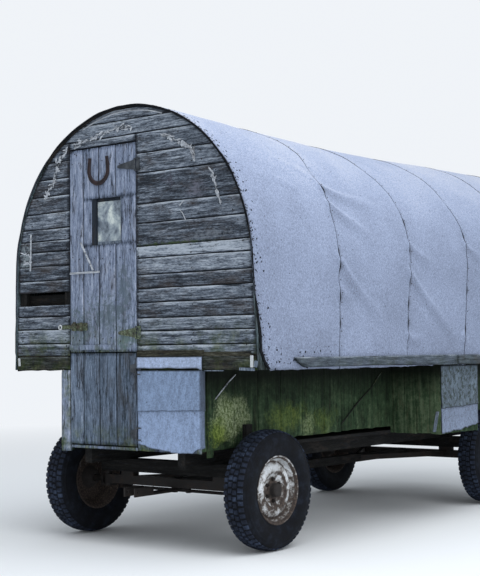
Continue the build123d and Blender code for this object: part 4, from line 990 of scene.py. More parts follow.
def hinge_set(name, heights, finish, body, node=None, long=0.154, end=0.01):
    """The straps and the moving barrels of a leaf's hinges."""
    parts = []
    for z in heights:
        low, high = z - HINGE_HIGH / 2 + 0.001, z + HINGE_HIGH / 2 - 0.001
        parts += [strap(z, long, end), barrel(low, z - 0.006), barrel(z + 0.006, high)]
    hang(mesh_piece(name, *gathered(parts), finish), node, body)


hinge_set("upper_strap", [2.483], strap_iron, "door_upper")
hinge_set("middle_strap", [1.391], mossy_iron, "door_upper", "door_upper_hinges")
hinge_set("lower_straps", [1.16, 0.74], strap_iron, "door_lower", "door_lower_hinges", 0.052, 0.022)

# %% [markdown]
# The latch is a flat bar on a plate, furred with moss, and it ends in a pale ring that sticks out past
# the door's edge. A torus by hand is a ring of small rings.


# %% Latch bar with its ring
def torus(centre, radius, thick, sides=28, small=10):
    """A ring that stands in the plane of the front wall."""
    points = []
    for k in range(sides):
        angle = 2 * pi * k / sides
        for m in range(small):
            turn = 2 * pi * m / small
            reach = radius + thick * cos(turn)
            x, z = reach * cos(angle), reach * sin(angle)
            points.append(Vector(centre) + Vector((x, thick * sin(turn), z)))
    return points, wrapped(sides, small, True)


LATCH_Z, LATCH_FACE = 1.438, FRONT - 0.009
latch_blocks = [
    ((-0.583, LATCH_FACE - 0.007, LATCH_Z - 0.013), (-0.369, LATCH_FACE, LATCH_Z + 0.013)),
    ((-0.5, LATCH_FACE, LATCH_Z - 0.025), (-0.352, FRONT - 0.0003, LATCH_Z + 0.025)),
    ((-0.47, LATCH_FACE - 0.015, LATCH_Z - 0.028), (-0.448, LATCH_FACE - 0.006, LATCH_Z + 0.034)),
    ((-0.405, LATCH_FACE - 0.015, LATCH_Z - 0.03), (-0.385, LATCH_FACE - 0.006, LATCH_Z + 0.03)),
]
hang(beams("latch_bar", latch_blocks, mossy_iron, 0.002), "door_latch", "door_upper")
ring = torus((-0.6, LATCH_FACE - 0.0045, LATCH_Z), 0.014, 0.005)
hang(mesh_piece("latch_ring", *ring, white_wood, smooth=True), None, "door_upper")

# %% [markdown]
# Two pale laths are still nailed to the upper leaf, one level and one leaning, and a thin strip hangs on
# the wall's left. Each is a short beam turned about its end in the plane of the door.


# %% Laths on the door and the wall
def turned(x, z, angle):
    """Turns a point about (x, z) in the plane of the front wall."""
    c, s = cos(angle), sin(angle)
    return lambda p: Vector((x + (p.x - x) * c - (p.z - z) * s, p.y, z + (p.x - x) * s + (p.z - z) * c))


LATH_THICK, LATH_FALL, LATH_RUN = 0.009, 1.812 - 2.004, -0.288 + 0.403
LATH_LONG, LATH_TURN = hypot(LATH_FALL, LATH_RUN), atan2(LATH_FALL, LATH_RUN)
laths = [
    ((-0.514, FRONT - LATH_THICK, 1.793), (-0.237, FRONT - 0.0003, 1.807)),
    (
        (-0.403, FRONT - LATH_THICK - 0.008, 1.998),
        (-0.403 + LATH_LONG, FRONT - LATH_THICK, 2.01),
        turned(-0.403, 2.004, LATH_TURN),
    ),
]
hang(beams("door_laths", laths, pale_wood, 0.0015), body="door_upper")
drip = [((DOOR_LEFT + 0.002, FRONT - 0.01, 1.283), (-0.105, FRONT - 0.0003, 1.318))]
hang(beams("door_drip_rail", drip, door_wood, 0.003), body="door_upper")
strip = [((-0.908, FRONT - 0.008, 1.835), (-0.896, FRONT - 0.0003, 2.09), turned(-0.902, 1.96, -0.03))]
hang(beams("wall_strip", strip, pale_wood, 0.0015))

# %% [markdown]
# The roofing is the piece that everybody sees first. On the real roof, felt was rolled over the arch from
# eave to eave in strips as wide as the roll. It has stretched and shrunk since, so each strip's front edge
# bows and lifts a little over the one before it. A flat sheet with a bump map would miss that, so the skin
# is worked out point by point: how far up the section, how far back, and how far out from the arch.

# %% Points on the arch
WALL_RUN = (SPRING_Z - EAVE) / cos(LEAN)
HALF_RUN = WALL_RUN + ARCH_RADIUS * (pi / 2 - LEAN)


def roof_point(side, s, y, out):
    """A point of the skin: s up from the eave, y back, and out from its plain surface."""
    if s <= WALL_RUN:
        left = WALL_RUN - s
        x = SPRING_X + left * sin(LEAN) + out * cos(LEAN)
        return (side * x, y, SPRING_Z - left * cos(LEAN) + out * sin(LEAN))
    radius, centre = arch(drop_at(y))
    start = asin((SPRING_Z - centre) / radius)
    angle = start + (pi / 2 - start) * (s - WALL_RUN) / (HALF_RUN - WALL_RUN)
    return (side * (radius + out) * cos(angle), y, centre + (radius + out) * sin(angle))


print("the skin runs", round(2 * HALF_RUN, 2), "metres from eave to eave")

# %% [markdown]
# The edges of the strips are not straight: over the wall's top they lie up to 18 centimetres further back
# than at the crown. The tables below give that shift against the run up from the eave, both in
# millimetres. The same cell holds the few creases where the felt has folded, as lines between two places.

# %% Edges and creases of the strips
FRONT_EDGE = [(0, 125), (50, 75), (120, 42), (200, 46), (350, 24), (500, -6), (660, -22)]
LEFT_EDGE = [(0, 30), (120, 4), (500, -5), (1250, -7), (1700, -20)]
SEAM_EDGE = {
    1: [
        (0, 10), (160, 23), (290, 42), (460, 57), (600, 56), (663, 73), (760, 65), (890, 71), (1020, 78),
        (1200, 100), (1260, 72), (1440, 96), (1600, 138), (1850, 120), (2100, 50),
    ],
    2: [
        (0, 10), (200, 38), (300, 56), (440, 71), (585, 109), (730, 133), (820, 146), (1045, 163),
        (1130, 176), (1280, 165), (1440, 135), (1690, 72), (2000, 20),
    ],
    3: [
        (0, 0), (155, 9), (300, 45), (436, 73), (565, 99), (720, 128), (884, 157), (998, 176), (1090, 184),
        (1240, 160), (1420, 141), (1640, 109), (2000, 40),
    ],
}
BEADS = {1: (1.22, 1.02, 0.76, 0.66, 0.46, 0.29), 2: (1.05, 0.82, 0.585, 0.44, 0.3), 3: (1.0, 0.565, 0.26)}
# Columns: y and s of one end, y and s of the other, all in millimetres, and the strength
CREASES = [
    (955, 1250, 1505, 1148, 1.0), (955, 1120, 1361, 898, 1.0), (945, 715, 1446, 295, 0.8),
    (930, 530, 1078, 430, 0.5), (1880, 885, 2143, 745, 0.8), (1850, 665, 2392, 255, 1.0),
    (1760, 225, 1960, 175, 0.7), (2600, 240, 2660, 130, 0.8), (952, 1262, 560, 1500, 0.5),
    (628, 1178, 284, 1260, 0.35), (2740, 950, 3010, 800, 0.7), (3560, 1050, 3840, 900, 0.7),
]
LAST_STRIP = 6


def along_run(s, table, at_crown):
    """A table's shift at a place up the section, in metres."""
    return float(np.interp(s * 1000, *zip(*table, (HALF_RUN * 1000, at_crown)))) / 1000


def bead(number, side, s):
    """How near a spot of a seam is to the tacks that pull it in: 1 at a tack."""
    spots = BEADS.get(number, (1.35, 0.95, 0.52))
    shift = 0.0 if side > 0 else 0.07
    return max(exp(-(((s - spot - shift) / 0.03) ** 2)) for spot in spots)


def edge_y(number, side, s):
    """Where the front edge of a strip lies, on one side and at one height."""
    if number == 0:
        reach = along_run(s, FRONT_EDGE if side > 0 else LEFT_EDGE, -26)
        rag = 0.004 * wander(s * 9, side * 3) - 0.004
        return max(FRONT + reach + (rag if reach > -0.015 else abs(rag) * 0.5), FRONT - 0.026)
    if number == LAST_STRIP:
        return BACK + 0.024 - 0.012 * abs(wander(s * 5, side * 7))
    shift = along_run(s, SEAM_EDGE[min(number, 3)], 0)
    calm = min(1.0, (HALF_RUN - s) * 2.0)
    ripple = 0.003 * wander(s * 5, number * 5.1, side) + 0.002 * wander(s * 19, number * 2.7, side)
    ripple *= calm
    return FRONT + number * SEAM_SPACING + (1.0 if side > 0 else 0.6) * shift + ripple


def crease(s, y):
    """Ridges with a hollow beside them, where the felt has folded."""
    total = 0.0
    for *ends, strength in CREASES:
        y0, s0, y1, s1 = (end / 1000 for end in ends)
        start = Vector((FRONT + y0, s0))
        way, spot = Vector((FRONT + y1, s1)) - start, Vector((y, s)) - start
        t = spot.dot(way) / way.length_squared
        if -0.1 < t < 1.35:
            grown = max(0.0, t)
            off = spot.cross(way) / way.length - 0.012 * sin(t * 5.0)
            fade = min(1.0, (t + 0.1) * 6.0) * max(0.0, 1 - grown / 1.35)
            near = off / ((0.018 + 0.014 * grown) if off < 0 else (0.036 + 0.03 * grown))
            below = (off - 0.09) / 0.045
            total += strength * fade * (0.0175 * exp(-near * near) - 0.0055 * exp(-below * below))
    return total


# %% [markdown]
# Now the strips themselves. Each is a grid of points, finer on the side that faces the road, with its front
# edge lifted above the strip before it. The edge gets its own face down to the deck, painted with bare black
# felt, and the skin just behind the edge is painted darker, as the painted shadow of the lift. Together they
# draw the dark line at every seam.


# %% Six strips of roofing
def skin_out(number, side, s, y, ahead, behind):
    """How far the felt stands out, with its lift at the front edge and the puckers near both edges."""
    soft = 0.004 * wander(s * 2.1, y * 1.7, side) + 0.0022 * wander(s * 6, y * 5, side)
    lift = 0.0018 + 0.0014 * wander(s * 3.4, number * 8.3, side) + 0.003 * bead(number, side, s)
    lift *= exp(-ahead / 0.03)
    pucker = 0.005 * wander(s * 5.5, y * 1.5, side * 2)
    pucker *= exp(-ahead / 0.11) + exp(-behind / 0.11)
    valley = -(0.0008 + 0.0026 * bead(number + 1, side, s)) * exp(-behind / 0.04)
    out = soft + pucker + valley + (lift if number else 0.3 * lift)
    if side > 0:
        out += crease(s, y)
    return max(out, -0.0035)


def bare_rim(piece, first):
    """Bare black felt on the edge faces, which are those from a number on."""
    piece.data.materials.append(edge_felt)
    for face in piece.data.polygons[first:]:
        face.material_index, face.use_smooth = 1, False


NEAR_STEP, FAR_STEP, UNDERSIDE = 0.0165, 0.045, -0.0039
near_runs = [HALF_RUN - k * NEAR_STEP for k in range(int(HALF_RUN / NEAR_STEP) + 1)] + [0.0]
far_runs = [HALF_RUN - k * FAR_STEP for k in range(1, int(HALF_RUN / FAR_STEP) + 1)] + [0.0]
lines = [(1, s) for s in reversed(near_runs)] + [(-1, s) for s in far_runs]
shares = [0.0, 0.0045, 0.011, 0.02, 0.033, 0.05] + [0.05 + 0.95 * k / 46 for k in range(1, 47)]
width = len(shares)
beneath = [*range(0, width - 1, 6), width - 1]
deep = len(beneath)
under = len(lines) * width
for number in range(LAST_STRIP):
    points, under_points, seam, fold_shading = [], [], [], []
    for side, s in lines:
        first = edge_y(number, side, s)
        last = edge_y(number + 1, side, s) + (0.02 if number < LAST_STRIP - 1 else 0.0)
        foot = 0.0 if s else -0.006 + 0.006 * wander(number * 3, side)
        pull = bead(number, side, s) if number else 1.0
        # The seam value darkens the skin just behind each edge: bare felt and the painted shadow of the
        # lifted edge, deepest at the tacks.
        edge_strength = 0.38 + 0.22 * exp(-((s / 0.95) ** 4)) + 0.45 * pull + 0.4 * wander(s * 24, number)
        reach = 0.011 if number == 0 else 0.0058 + 0.009 * pull
        for share in shares:
            y = first + (last - first) * share
            out = skin_out(number, side, s, y, y - first, last - y)
            rag = 0.006 * wander(y * 14, side * 3) if s == 0.0 else 0.0
            x, y_at, z = roof_point(side, s + foot + rag, y, out)
            pressed = 0.0001 + 0.0013 * exp(-(((last - y) / 0.02) ** 2))
            points.append((x, y_at, min(z, cad_high[2] - pressed)))
            grime = 0.45 * exp(-s / 0.04) * max(0.0, 0.3 + 1.4 * wander(y * 13, s * 24, side))
            seam.append(min(1.0, max(0.0, edge_strength) * exp(-(y - first) / reach) + grime))
            # Painted light and shade on the flanks of the creases, from their slope.
            slope = (crease(s - 0.01, y) - crease(s + 0.01, y)) / 0.02 if side > 0 else 0.0
            fold_shading.append(max(-2.0, min(2.0, 3.2 * slope)))
        under_points += [roof_point(side, s, first + (last - first) * shares[k], UNDERSIDE) for k in beneath]
    points += under_points
    seam += [1.0] * len(under_points)
    fold_shading += [0.0] * len(under_points)
    faces = grid(0, len(lines) - 1, width - 1) + grid(under, len(lines) - 1, deep - 1, True)
    skin = len(faces)
    for row in range(len(lines) - 1):
        a, b = row * width, under + row * deep
        faces.append((a, a + width, b + deep, b))
        faces.append((a + width - 1, b + deep - 1, b + 2 * deep - 1, a + 2 * width - 1))
    for row in (0, len(lines) - 1):
        a, b = row * width, under + row * deep
        faces.append((*range(a, a + width), *range(b + deep - 1, b - 1, -1)))
    values = {"seam": seam, "fold_shading": fold_shading}
    strip = mesh_piece(f"roof_strip_{number + 1}", points, faces, roof_felt, values, smooth=True)
    bare_rim(strip, skin)
    hang(strip, None if number else "roofing")

# %% [markdown]
# Along the front of the arch the felt was folded over the end of the deck and has since torn, so a black
# ragged hem hangs there. It follows the arch, which is what Geometry Nodes' Curve to Mesh is for: one
# curve over the arch, one small section swept along it, and noise that pulls the hem about.


# %% Helpers for trees of Geometry Nodes
def new_tree(name, *sockets):
    """A tree with named inputs, given as (name, socket kind, value), and the outputs of its input node."""
    tree = bpy.data.node_groups.new(name, "GeometryNodeTree")
    tree.interface.new_socket("Geometry", in_out="INPUT", socket_type="NodeSocketGeometry")
    for label, kind, value in (*sockets, ("Finish", "Material", None)):
        made = tree.interface.new_socket(label, in_out="INPUT", socket_type="NodeSocket" + kind)
        if value is not None:
            made.default_value = value
    tree.interface.new_socket("Geometry", in_out="OUTPUT", socket_type="NodeSocketGeometry")
    return tree, add_node(tree, "NodeGroupInput").outputs


def close_tree(tree, given, last):
    """The end of a tree: instances become real, and everything wears the finish."""
    real = add_node(tree, "GeometryNodeRealizeInstances", {"Geometry": last})
    coated = add_node(tree, "GeometryNodeSetMaterial", {"Geometry": real, "Material": given["Finish"]})
    add_node(tree, "NodeGroupOutput", {"Geometry": coated})


def grow(name, points, tree, inputs, vectors=None, edges=()):
    """Run a tree on loose points or a polyline, and give back a plain mesh object."""
    seed = bpy.data.meshes.new(name + "_seed")
    seed.from_pydata([tuple(p) for p in points], list(edges), [])
    for label, rows in (vectors or {}).items():
        flat = [number for row in rows for number in row]
        seed.attributes.new(label, "FLOAT_VECTOR", "POINT").data.foreach_set("vector", flat)
    start = added(name + "_seed", seed)
    modifier = start.modifiers.new("grow", "NODES")
    modifier.node_group = tree
    sockets = {item.name: item.identifier for item in tree.interface.items_tree if item.in_out == "INPUT"}
    for label, value in inputs.items():
        modifier[sockets[label]] = value
    mesh = bpy.data.meshes.new_from_object(start.evaluated_get(bpy.context.evaluated_depsgraph_get()))
    start.modifiers.remove(modifier)
    bpy.data.objects.remove(start)
    mesh.name = name
    return added(name, mesh)


# %% [markdown]
# The hem's tree resamples the arch, moves its points a little with noise, and sweeps a thin strip along it,
# so the hem looks torn.

# %% The torn hem along the front of the arch
hem_inputs = ("Width", "Float", 0.014), ("Tear", "Float", 0.006), ("Seed", "Float", 3.0)
hem_tree, hem = new_tree("torn_hem", *hem_inputs)
arch_curve = add_node(hem_tree, "GeometryNodeMeshToCurve", {"Mesh": hem["Geometry"]})
fine_curve = add_node(hem_tree, "GeometryNodeResampleCurve", {"Curve": arch_curve, "Count": 420})
spot = add_node(hem_tree, "GeometryNodeInputPosition")
far_spot = add_node(hem_tree, "ShaderNodeVectorMath", {0: spot, 1: (5.0, 0.0, 2.0)}, operation="ADD")
look = {"Vector": far_spot, "W": hem["Seed"], "Scale": 11.0, "Detail": 4.0, "Roughness": 0.65}
tear_noise = add_node(hem_tree, "ShaderNodeTexNoise", look, noise_dimensions="4D").outputs["Fac"]
centred = add_node(hem_tree, "ShaderNodeMath", {0: tear_noise, 1: 0.5}, operation="SUBTRACT")
pull = add_node(hem_tree, "ShaderNodeMath", {0: centred, 1: hem["Tear"]}, operation="MULTIPLY")
shift = add_node(hem_tree, "ShaderNodeCombineXYZ", {"Z": pull})
moved = add_node(hem_tree, "GeometryNodeSetPosition", {"Geometry": fine_curve, "Offset": shift})
size = {"Width": 0.0022, "Height": hem["Width"]}
section = add_node(hem_tree, "GeometryNodeCurvePrimitiveQuadrilateral", size)
sweep = {"Curve": moved, "Profile Curve": section, "Fill Caps": True}
close_tree(hem_tree, hem, add_node(hem_tree, "GeometryNodeCurveToMesh", sweep))


def deck_end(s, side=1):
    """Where the deck's front end lies at a place up the section."""
    near = [(0, 10), (300, 4), (700, -6), (950, -20)]
    return FRONT + along_run(s, near if side > 0 else [(0, 0), (1250, -3), (1700, -16)], -22)


def arch_run(start, end, ahead, out, count=90):
    """A line over the arch ahead of the deck's end, from start to end metres left of the crown."""
    line = []
    for k in range(count + 1):
        along = start + (end - start) * k / count
        s = HALF_RUN - abs(along)
        side = 1 if along > 0 else -1
        line.append(roof_point(side, s, deck_end(s, side) - ahead, out))
    return line


def swept(name, line, finish, width, tear, seed):
    """The hem's tree run along a line."""
    inputs = {"Width": width, "Tear": tear, "Seed": seed, "Finish": finish}
    return grow(name, line, hem_tree, inputs, edges=[(k, k + 1) for k in range(len(line) - 1)])


# Columns: name, from, to, ahead, out, width, tear, seed
for name, *run, width, tear, seed in (
    ("torn_hem", 1.45, -0.7, 0.0012, -0.0075, 0.01, 0.018, 3.0),
    ("thin_hem", -0.7, -1.5, 0.0012, -0.0035, 0.0065, 0.006, 4.0),
    ("crown_hem", 0.3, -0.6, 0.0008, -0.013, 0.011, 0.04, 8.0),
):
    hang(swept(name, arch_run(*run), edge_felt, width, tear, seed), None)
hang(swept("pale_lip", arch_run(0.34, -0.42, -0.02, -0.036), pale_wood, 0.01, 0.008, 5.0))


def felt_edge_and_shade_strip(count=70):
    """The black torn strip ahead of the felt's edge, from the eave up the near side: torn felt, and painted
    shade under the edge.
    """
    points = []
    for k in range(count + 1):
        s = 0.004 + 0.93 * k / count
        edge = edge_y(0, 1, s)
        torn = (0.01 + 0.01 * max(0.0, 1 - s / 0.6)) * (1 + 0.7 * wander(s * 31, 4))
        front = max(edge - torn, deck_end(s) + 0.001)
        for y, out in ((front, -0.0032), (edge + 0.004, -0.0032), (edge + 0.004, 0.0026), (front, 0.0014)):
            points.append(roof_point(1, s, y, out))
    return points, wrapped(count + 1, 4)


hang(mesh_piece("felt_edge_and_shade_strip", *felt_edge_and_shade_strip(), edge_felt), None)

# %% [markdown]
# The deck under the roofing is boarded from eave to eave. Its end stands a little ahead of the wall at the
# crown and nearly flush with it at the eaves, where its mossy edge shows in front of the felt. The deck is
# darker near the eave, and darker still towards the crown, as painted shade under the felt's overhang.

# %% Roof deck
deck_points, deck_tone_and_shade = [], []
deck_lines = [(1, HALF_RUN * k / 60) for k in range(61)]
deck_lines += [(-1, HALF_RUN * (60 - k) / 60) for k in range(1, 61)]
deck_stations = [0.0, *[k * SEAM_SPACING / 6 for k in range(1, 32)], BACK - FRONT + 0.022]
for out in (-0.0105, -0.013):
    for side, s in deck_lines:
        for number, y in enumerate(deck_stations):
            raised = 0.0063 if out > -0.012 and number == 0 else 0.0
            deck_points.append(roof_point(side, s, FRONT + y if number else deck_end(s, side), out + raised))
            # Darker near the eave, and darker towards the crown as painted shade under the felt's overhang.
            near_tone_and_shade = np.interp(s, (0.06, 0.14, 0.45, 0.75), (-1.0, -0.1, 0.0, -2.0))
            deck_tone_and_shade.append(float(np.interp(s, (1.3, 1.6), (0.1, -2.0)) if side < 0 else near_tone_and_shade))
wide, rows = len(deck_stations), len(deck_lines) - 1
half = len(deck_points) // 2
deck_faces = grid(0, rows, wide - 1) + grid(half, rows, wide - 1, True)
for row in range(rows):
    for a in (row * wide, row * wide + wide - 1):
        deck_faces.append((a, a + wide, half + a + wide, half + a))
for k in range(wide - 1):
    for a in (k, rows * wide + k):
        deck_faces.append((a, a + 1, half + a + 1, half + a))
deck = mesh_piece("roof_deck_boards", deck_points, deck_faces, deck_wood, {"tone": deck_tone_and_shade})
hang(deck, "roof_deck")

# %% [markdown]
# A batten along each eave holds the lower ends of the strips. Its front end has broken off on a slant.
# The batten starts from the same tool as the planks, placed on the leaning wall.

# %% Eave battens
EAVE_FACE = SPRING_X + (SPRING_Z - EAVE) * tan(LEAN) + 0.0028
BATTEN_FOOT, BATTEN_TOP, BATTEN_THICK, BATTEN_JOINT = 1.142, 1.222, 0.022, FRONT + 2.45


def on_side(side):
    """Places a board on one side of the wagon: its length runs along Y and out is away from the middle."""

    def place(along, up, out):
        share = (BATTEN_TOP - up) / (BATTEN_TOP - BATTEN_FOOT)
        raised = 0.016 * share * float(np.interp(along - FRONT, (1.3, 2.8), (1.0, 0.0)))
        return (side * (EAVE_FACE + BATTEN_THICK + out), along, up + raised)

    return place


def broken_end(height):
    """The batten's split front end."""
    t = (height - BATTEN_FOOT) / (BATTEN_TOP - BATTEN_FOOT)
    return FRONT + 0.357 + 0.11 * (1 - t) ** 1.6 + 0.01 * wander(height * 90, 3)


for side, word in ((1, "left"), (-1, "right")):
    batten = Boards(on_side(side))
    front = broken_end, level(BATTEN_JOINT, 4.0)
    batten.board(BATTEN_FOOT, BATTEN_TOP, *front, BATTEN_THICK, 140 + side, 0.05, 0.004)
    tail = level(BATTEN_JOINT + 0.004, 4.0), level(BACK - 0.002, 8.0, 0.0)
    batten.board(BATTEN_FOOT + 0.003, BATTEN_TOP - 0.002, *tail, BATTEN_THICK, 150 + side, -0.1, 0.004)
    hang(batten.finish(f"eave_batten_{word}", eave_wood), side > 0 and "eave_battens")

# %% [markdown]
# The green box between the wheels is boarded upright. Its foot has rotted away behind the front wheel, so
# the boards end at different heights there. Inside the two stores each side has a hatch, which the boards
# leave open.

# %% Green sides of the lower box
SIDE_BOARD = 0.02
SIDE_JOINTS = [0.022, 0.105, 0.355, 0.605, 0.856, 1.109, 1.375, 1.593, 1.749, 2.047, 2.29]
STORE_START, STORE_END = 2.29, 2.88
HATCH = (2.35, 2.82, 0.712, 1.09)
SIDE_FOOT = [
    (0, 0.64), (0.3, 0.648), (0.95, 0.662), (1.04, 0.682), (1.26, 0.678), (1.73, 0.686), (2.28, 0.684),
]
SIDE_TOP = 1.223


def foot_of(seed):
    """The lower end of a board, rotted or cut."""

    def end(y):
        plain = float(np.interp(y - FRONT, *zip(*SIDE_FOOT))) if y < FRONT + STORE_START else 0.632
        return plain + 0.005 * wander(y * 12, seed)

    return end


def upright_on(side, face):
    """Places an upright board on a side: its width runs along Y and its length up."""
    return lambda along, up, out: (side * (face + out), up, along)


def side_boards(side, seed):
    """All the boards of one side of the box, with the hatch left open."""
    boards = Boards(upright_on(side, BOX_SIDE))
    edges = [*zip(SIDE_JOINTS, SIDE_JOINTS[1:]), (2.29, 2.35), (2.35, 2.585), (2.585, 2.82), (2.82, 3.06)]
    edges += [(3.06 + 0.248 * k, 3.308 + 0.248 * k) for k in range(6)]
    top = level(SIDE_TOP, 0, 0)
    for number, (a, b) in enumerate(edges):
        gap = 0.0012 if abs(b - 1.593) > 0.01 else 0.003
        ends = [(foot_of(number), top)]
        if HATCH[0] <= a < HATCH[1]:
            ends = [(foot_of(number), level(HATCH[2], number)), (level(HATCH[3], number), top)]
        style = (SIDE_BOARD, seed + number, 0.25 * wander(number * 1.7, seed), 0.0012, 0.0014)
        for foot, head in ends:
            boards.board(FRONT + a + 0.0008, FRONT + b - gap, foot, head, *style)
    return boards


for side, word in ((1, "left"), (-1, "right")):
    piece = side_boards(side, 200 + 30 * side).finish(f"green_side_{word}", green_side)
    hang(piece, side > 0 and "box_sides")
    corner = Boards(upright_on(side, BOX_SIDE + 0.0123))
    ends = level(0.603, side, 0.002), level(1.149, side, 0)
    corner.board(FRONT + 0.067, FRONT + 0.126, *ends, 0.0118, 300 + side, 0.35, 0.002)
    hang(corner.finish(f"corner_batten_{word}", green_post), side > 0 and "corner_battens")

# %% [markdown]
# In front, weathered uprights close the box on both sides of the door, and a short board stands under it.
# Thin sticks lean on the green side; they are swept bars with a slight bow, not straight rods.

# %% Box front boards and the sticks on the side
box_front = Boards(upright)
front_ends = level(BOX_BOTTOM + 0.002, 3, 0.004), level(EAVE - 0.001, 4, 0)
left_ends = level(0.607, 5, 0.005), level(EAVE - 0.001, 4, 0)
box_front.board(-BOX_SIDE, DOOR_LEFT - DOOR_GAP, *left_ends, PLANK, 310, 0.2)
for number, (a, b) in enumerate(((0.09, 0.262), (0.264, 0.437), (0.439, BOX_SIDE))):
    box_front.board(a, b, *front_ends, PLANK, 311 + number, -0.3)
foot_ends = level(BOX_BOTTOM + 0.001, 1, 0), level(BOX_BOTTOM + 0.021, 2, 0)
box_front.board(DOOR_LEFT, DOOR_RIGHT, *foot_ends, PLANK, 315, -0.4)
hang(box_front.finish("box_front", door_wood), "box_front_boards")


def rod(start, end, thick, bow, sides=7, steps=14):
    """Points and faces of a thin bar that bends a little on its way, thinner at its ends."""
    start, end = Vector(start), Vector(end)
    way = (end - start).normalized()
    across = way.cross(Vector((1, 0, 0))).normalized()
    other = way.cross(across)
    points = []
    for k in range(steps + 1):
        t = k / steps
        middle = start.lerp(end, t) + across * bow * sin(pi * t)
        middle += other * 0.2 * bow * sin(7 * t)
        radius = thick * (0.75 + 0.25 * sin(pi * t)) * (1 + 0.2 * wander(t * 6, thick * 900))
        for m in range(sides):
            turn = 2 * pi * m / sides
            points.append(middle + (across * cos(turn) + other * sin(turn)) * radius)
    return points, wrapped(steps + 1, sides)


# Columns: one end, the other, thickness and bow
STICKS = {
    "pale_stick": ((0.6165, FRONT + 0.359, 1.114), (0.6145, FRONT + 0.154, 0.965), 0.0042, 0.006),
    "dark_stick": ((0.615, FRONT + 1.579, 0.738), (0.616, FRONT + 2.001, 0.991), 0.0042, -0.008),
    "stick_end": ((0.616, FRONT + 2.003, 0.992), (0.6165, FRONT + 2.137, 1.096), 0.004, -0.004),
}
for (name, line), finish in zip(STICKS.items(), (pale_wood, upright_wood, sill_wood)):
    hang(mesh_piece(name, *rod(*line), finish), None)

# %% [markdown]
# Each side has a store under the bench. It is a box of upright boards, open inside, with its bottom board
# a little above the others' ends.


# %% Stores under the benches
STORE_IN, STORE_OUT, STORE_WALL, STORE_TOP = 0.6103, 1.025, 0.02, 1.1495


def store(side, seed):
    """Front, back and outer side of one store."""
    front = Boards(lambda along, up, out: (side * up, FRONT + STORE_START - out, along))
    back = Boards(lambda along, up, out: (side * up, FRONT + STORE_END + out, along))
    widths = [STORE_IN, 0.715, 0.812, 0.928, STORE_OUT - 0.0005]
    top = level(STORE_TOP, 0, 0)
    for number, (a, b) in enumerate(zip(widths, widths[1:])):
        foot = level(0.634, seed + number, 0.006)
        style = (0.3 * wander(number * 3.1, seed), 0.0014, 0.002)
        front.board(a + 0.0006, b - 0.0006, foot, top, STORE_WALL, seed + number, *style)
        back.board(a + 0.0006, b - 0.0006, foot, top, STORE_WALL, seed + 9 + number, *style)
    outer = Boards(upright_on(side, STORE_OUT))
    y0 = FRONT + STORE_START + STORE_WALL
    step = (STORE_END - STORE_START - 2 * STORE_WALL) / 4
    for number in range(4):
        low = y0 + number * step + 0.0006
        foot = level(0.634, number, 0.004)
        outer.board(low, low + step - 0.0012, foot, top, STORE_WALL, seed + 20 + number)
    return front, back, outer


for side, word in ((1, "left"), (-1, "right")):
    front, back, outer = store(side, 330 + side)
    hang(front.finish(f"store_front_{word}", green_end), side > 0 and "storage_boxes")
    hang(back.finish(f"store_back_{word}", green_end), None)
    hang(outer.finish(f"store_side_{word}", green_side), None)
    xs = sorted((side * (STORE_IN + 0.001), side * (STORE_OUT - STORE_WALL - 0.001)))
    bottom = [((xs[0], FRONT + STORE_START + 0.021, 0.64), (xs[1], FRONT + STORE_END - 0.021, 0.656))]
    hang(beams(f"store_bottom_{word}", bottom, beam_wood), None)


def leaning(p):
    """Slants the chip that has come off the store's corner."""
    return Vector((p.x + 0.2 * (p.z - 0.65), p.y, p.z))


store_chip = [((0.958, FRONT + 2.284, 0.648), (0.984, FRONT + 2.2895, 0.8), leaning)]
hang(beams("store_chip", store_chip, casing_wood, 0.002), None)

# %% [markdown]
# Scraps of the same roofing are nailed over the front panel and the stores. A scrap is a thin sheet that
# lies nearly flat, curls at its edges and overlaps the next. The helper makes one from a function that
# gives a point for a place across and a place up, and gives it thickness along its own normals.


# %% Thin sheets with curled edges
SHEET_THICK = 0.003


def sheet(name, columns, rows, surface, finish, seed, turned_from=2, shade=0):
    """A closed thin sheet. Its edges are painted as bare felt, and the part past turned_from is darkened by
    shade, as painted shade.
    """
    spots = [[Vector(surface(i / columns, j / rows)) for i in range(columns + 1)] for j in range(rows + 1)]
    points, seam = [], []
    for layer in (0, SHEET_THICK):
        for j in range(rows + 1):
            for i in range(columns + 1):
                right = spots[j][min(i + 1, columns)] - spots[j][max(i - 1, 0)]
                up = spots[min(j + 1, rows)][i] - spots[max(j - 1, 0)][i]
                points.append(spots[j][i] - right.cross(up).normalized() * layer)
                # Past turned_from the sheet is painted darker: painted shade on the side that faces away from
                # the light.
                plain = shade if i / columns > turned_from else 0
                inside = min(i, columns - i, j, rows - j)
                seam.append(plain if inside else 0.8 + 0.2 * wander(i * 0.7, j * 0.7, seed))
    size = len(points) // 2
    faces = grid(0, rows, columns) + grid(size, rows, columns, True)
    skin = len(faces)
    loop = [j * (columns + 1) + i for j, i in rim_of(rows, columns)]
    faces += between(loop, [size + a for a in loop])
    values = {"seam": seam, "fold_shading": [0] * len(seam)}
    piece = mesh_piece(name, points, faces, finish, values, smooth=True)
    bare_rim(piece, skin)
    return piece


CORNER_BEND, PANEL_LEFT, PANEL_TURN, PANEL_SHADE = 0.01, 0.0975, 0.6165, 0.925
PANEL_FLAT, BEND_ARC = PANEL_TURN - CORNER_BEND - PANEL_LEFT, CORNER_BEND * pi / 2
PANEL_RUN = PANEL_FLAT + BEND_ARC + 0.03


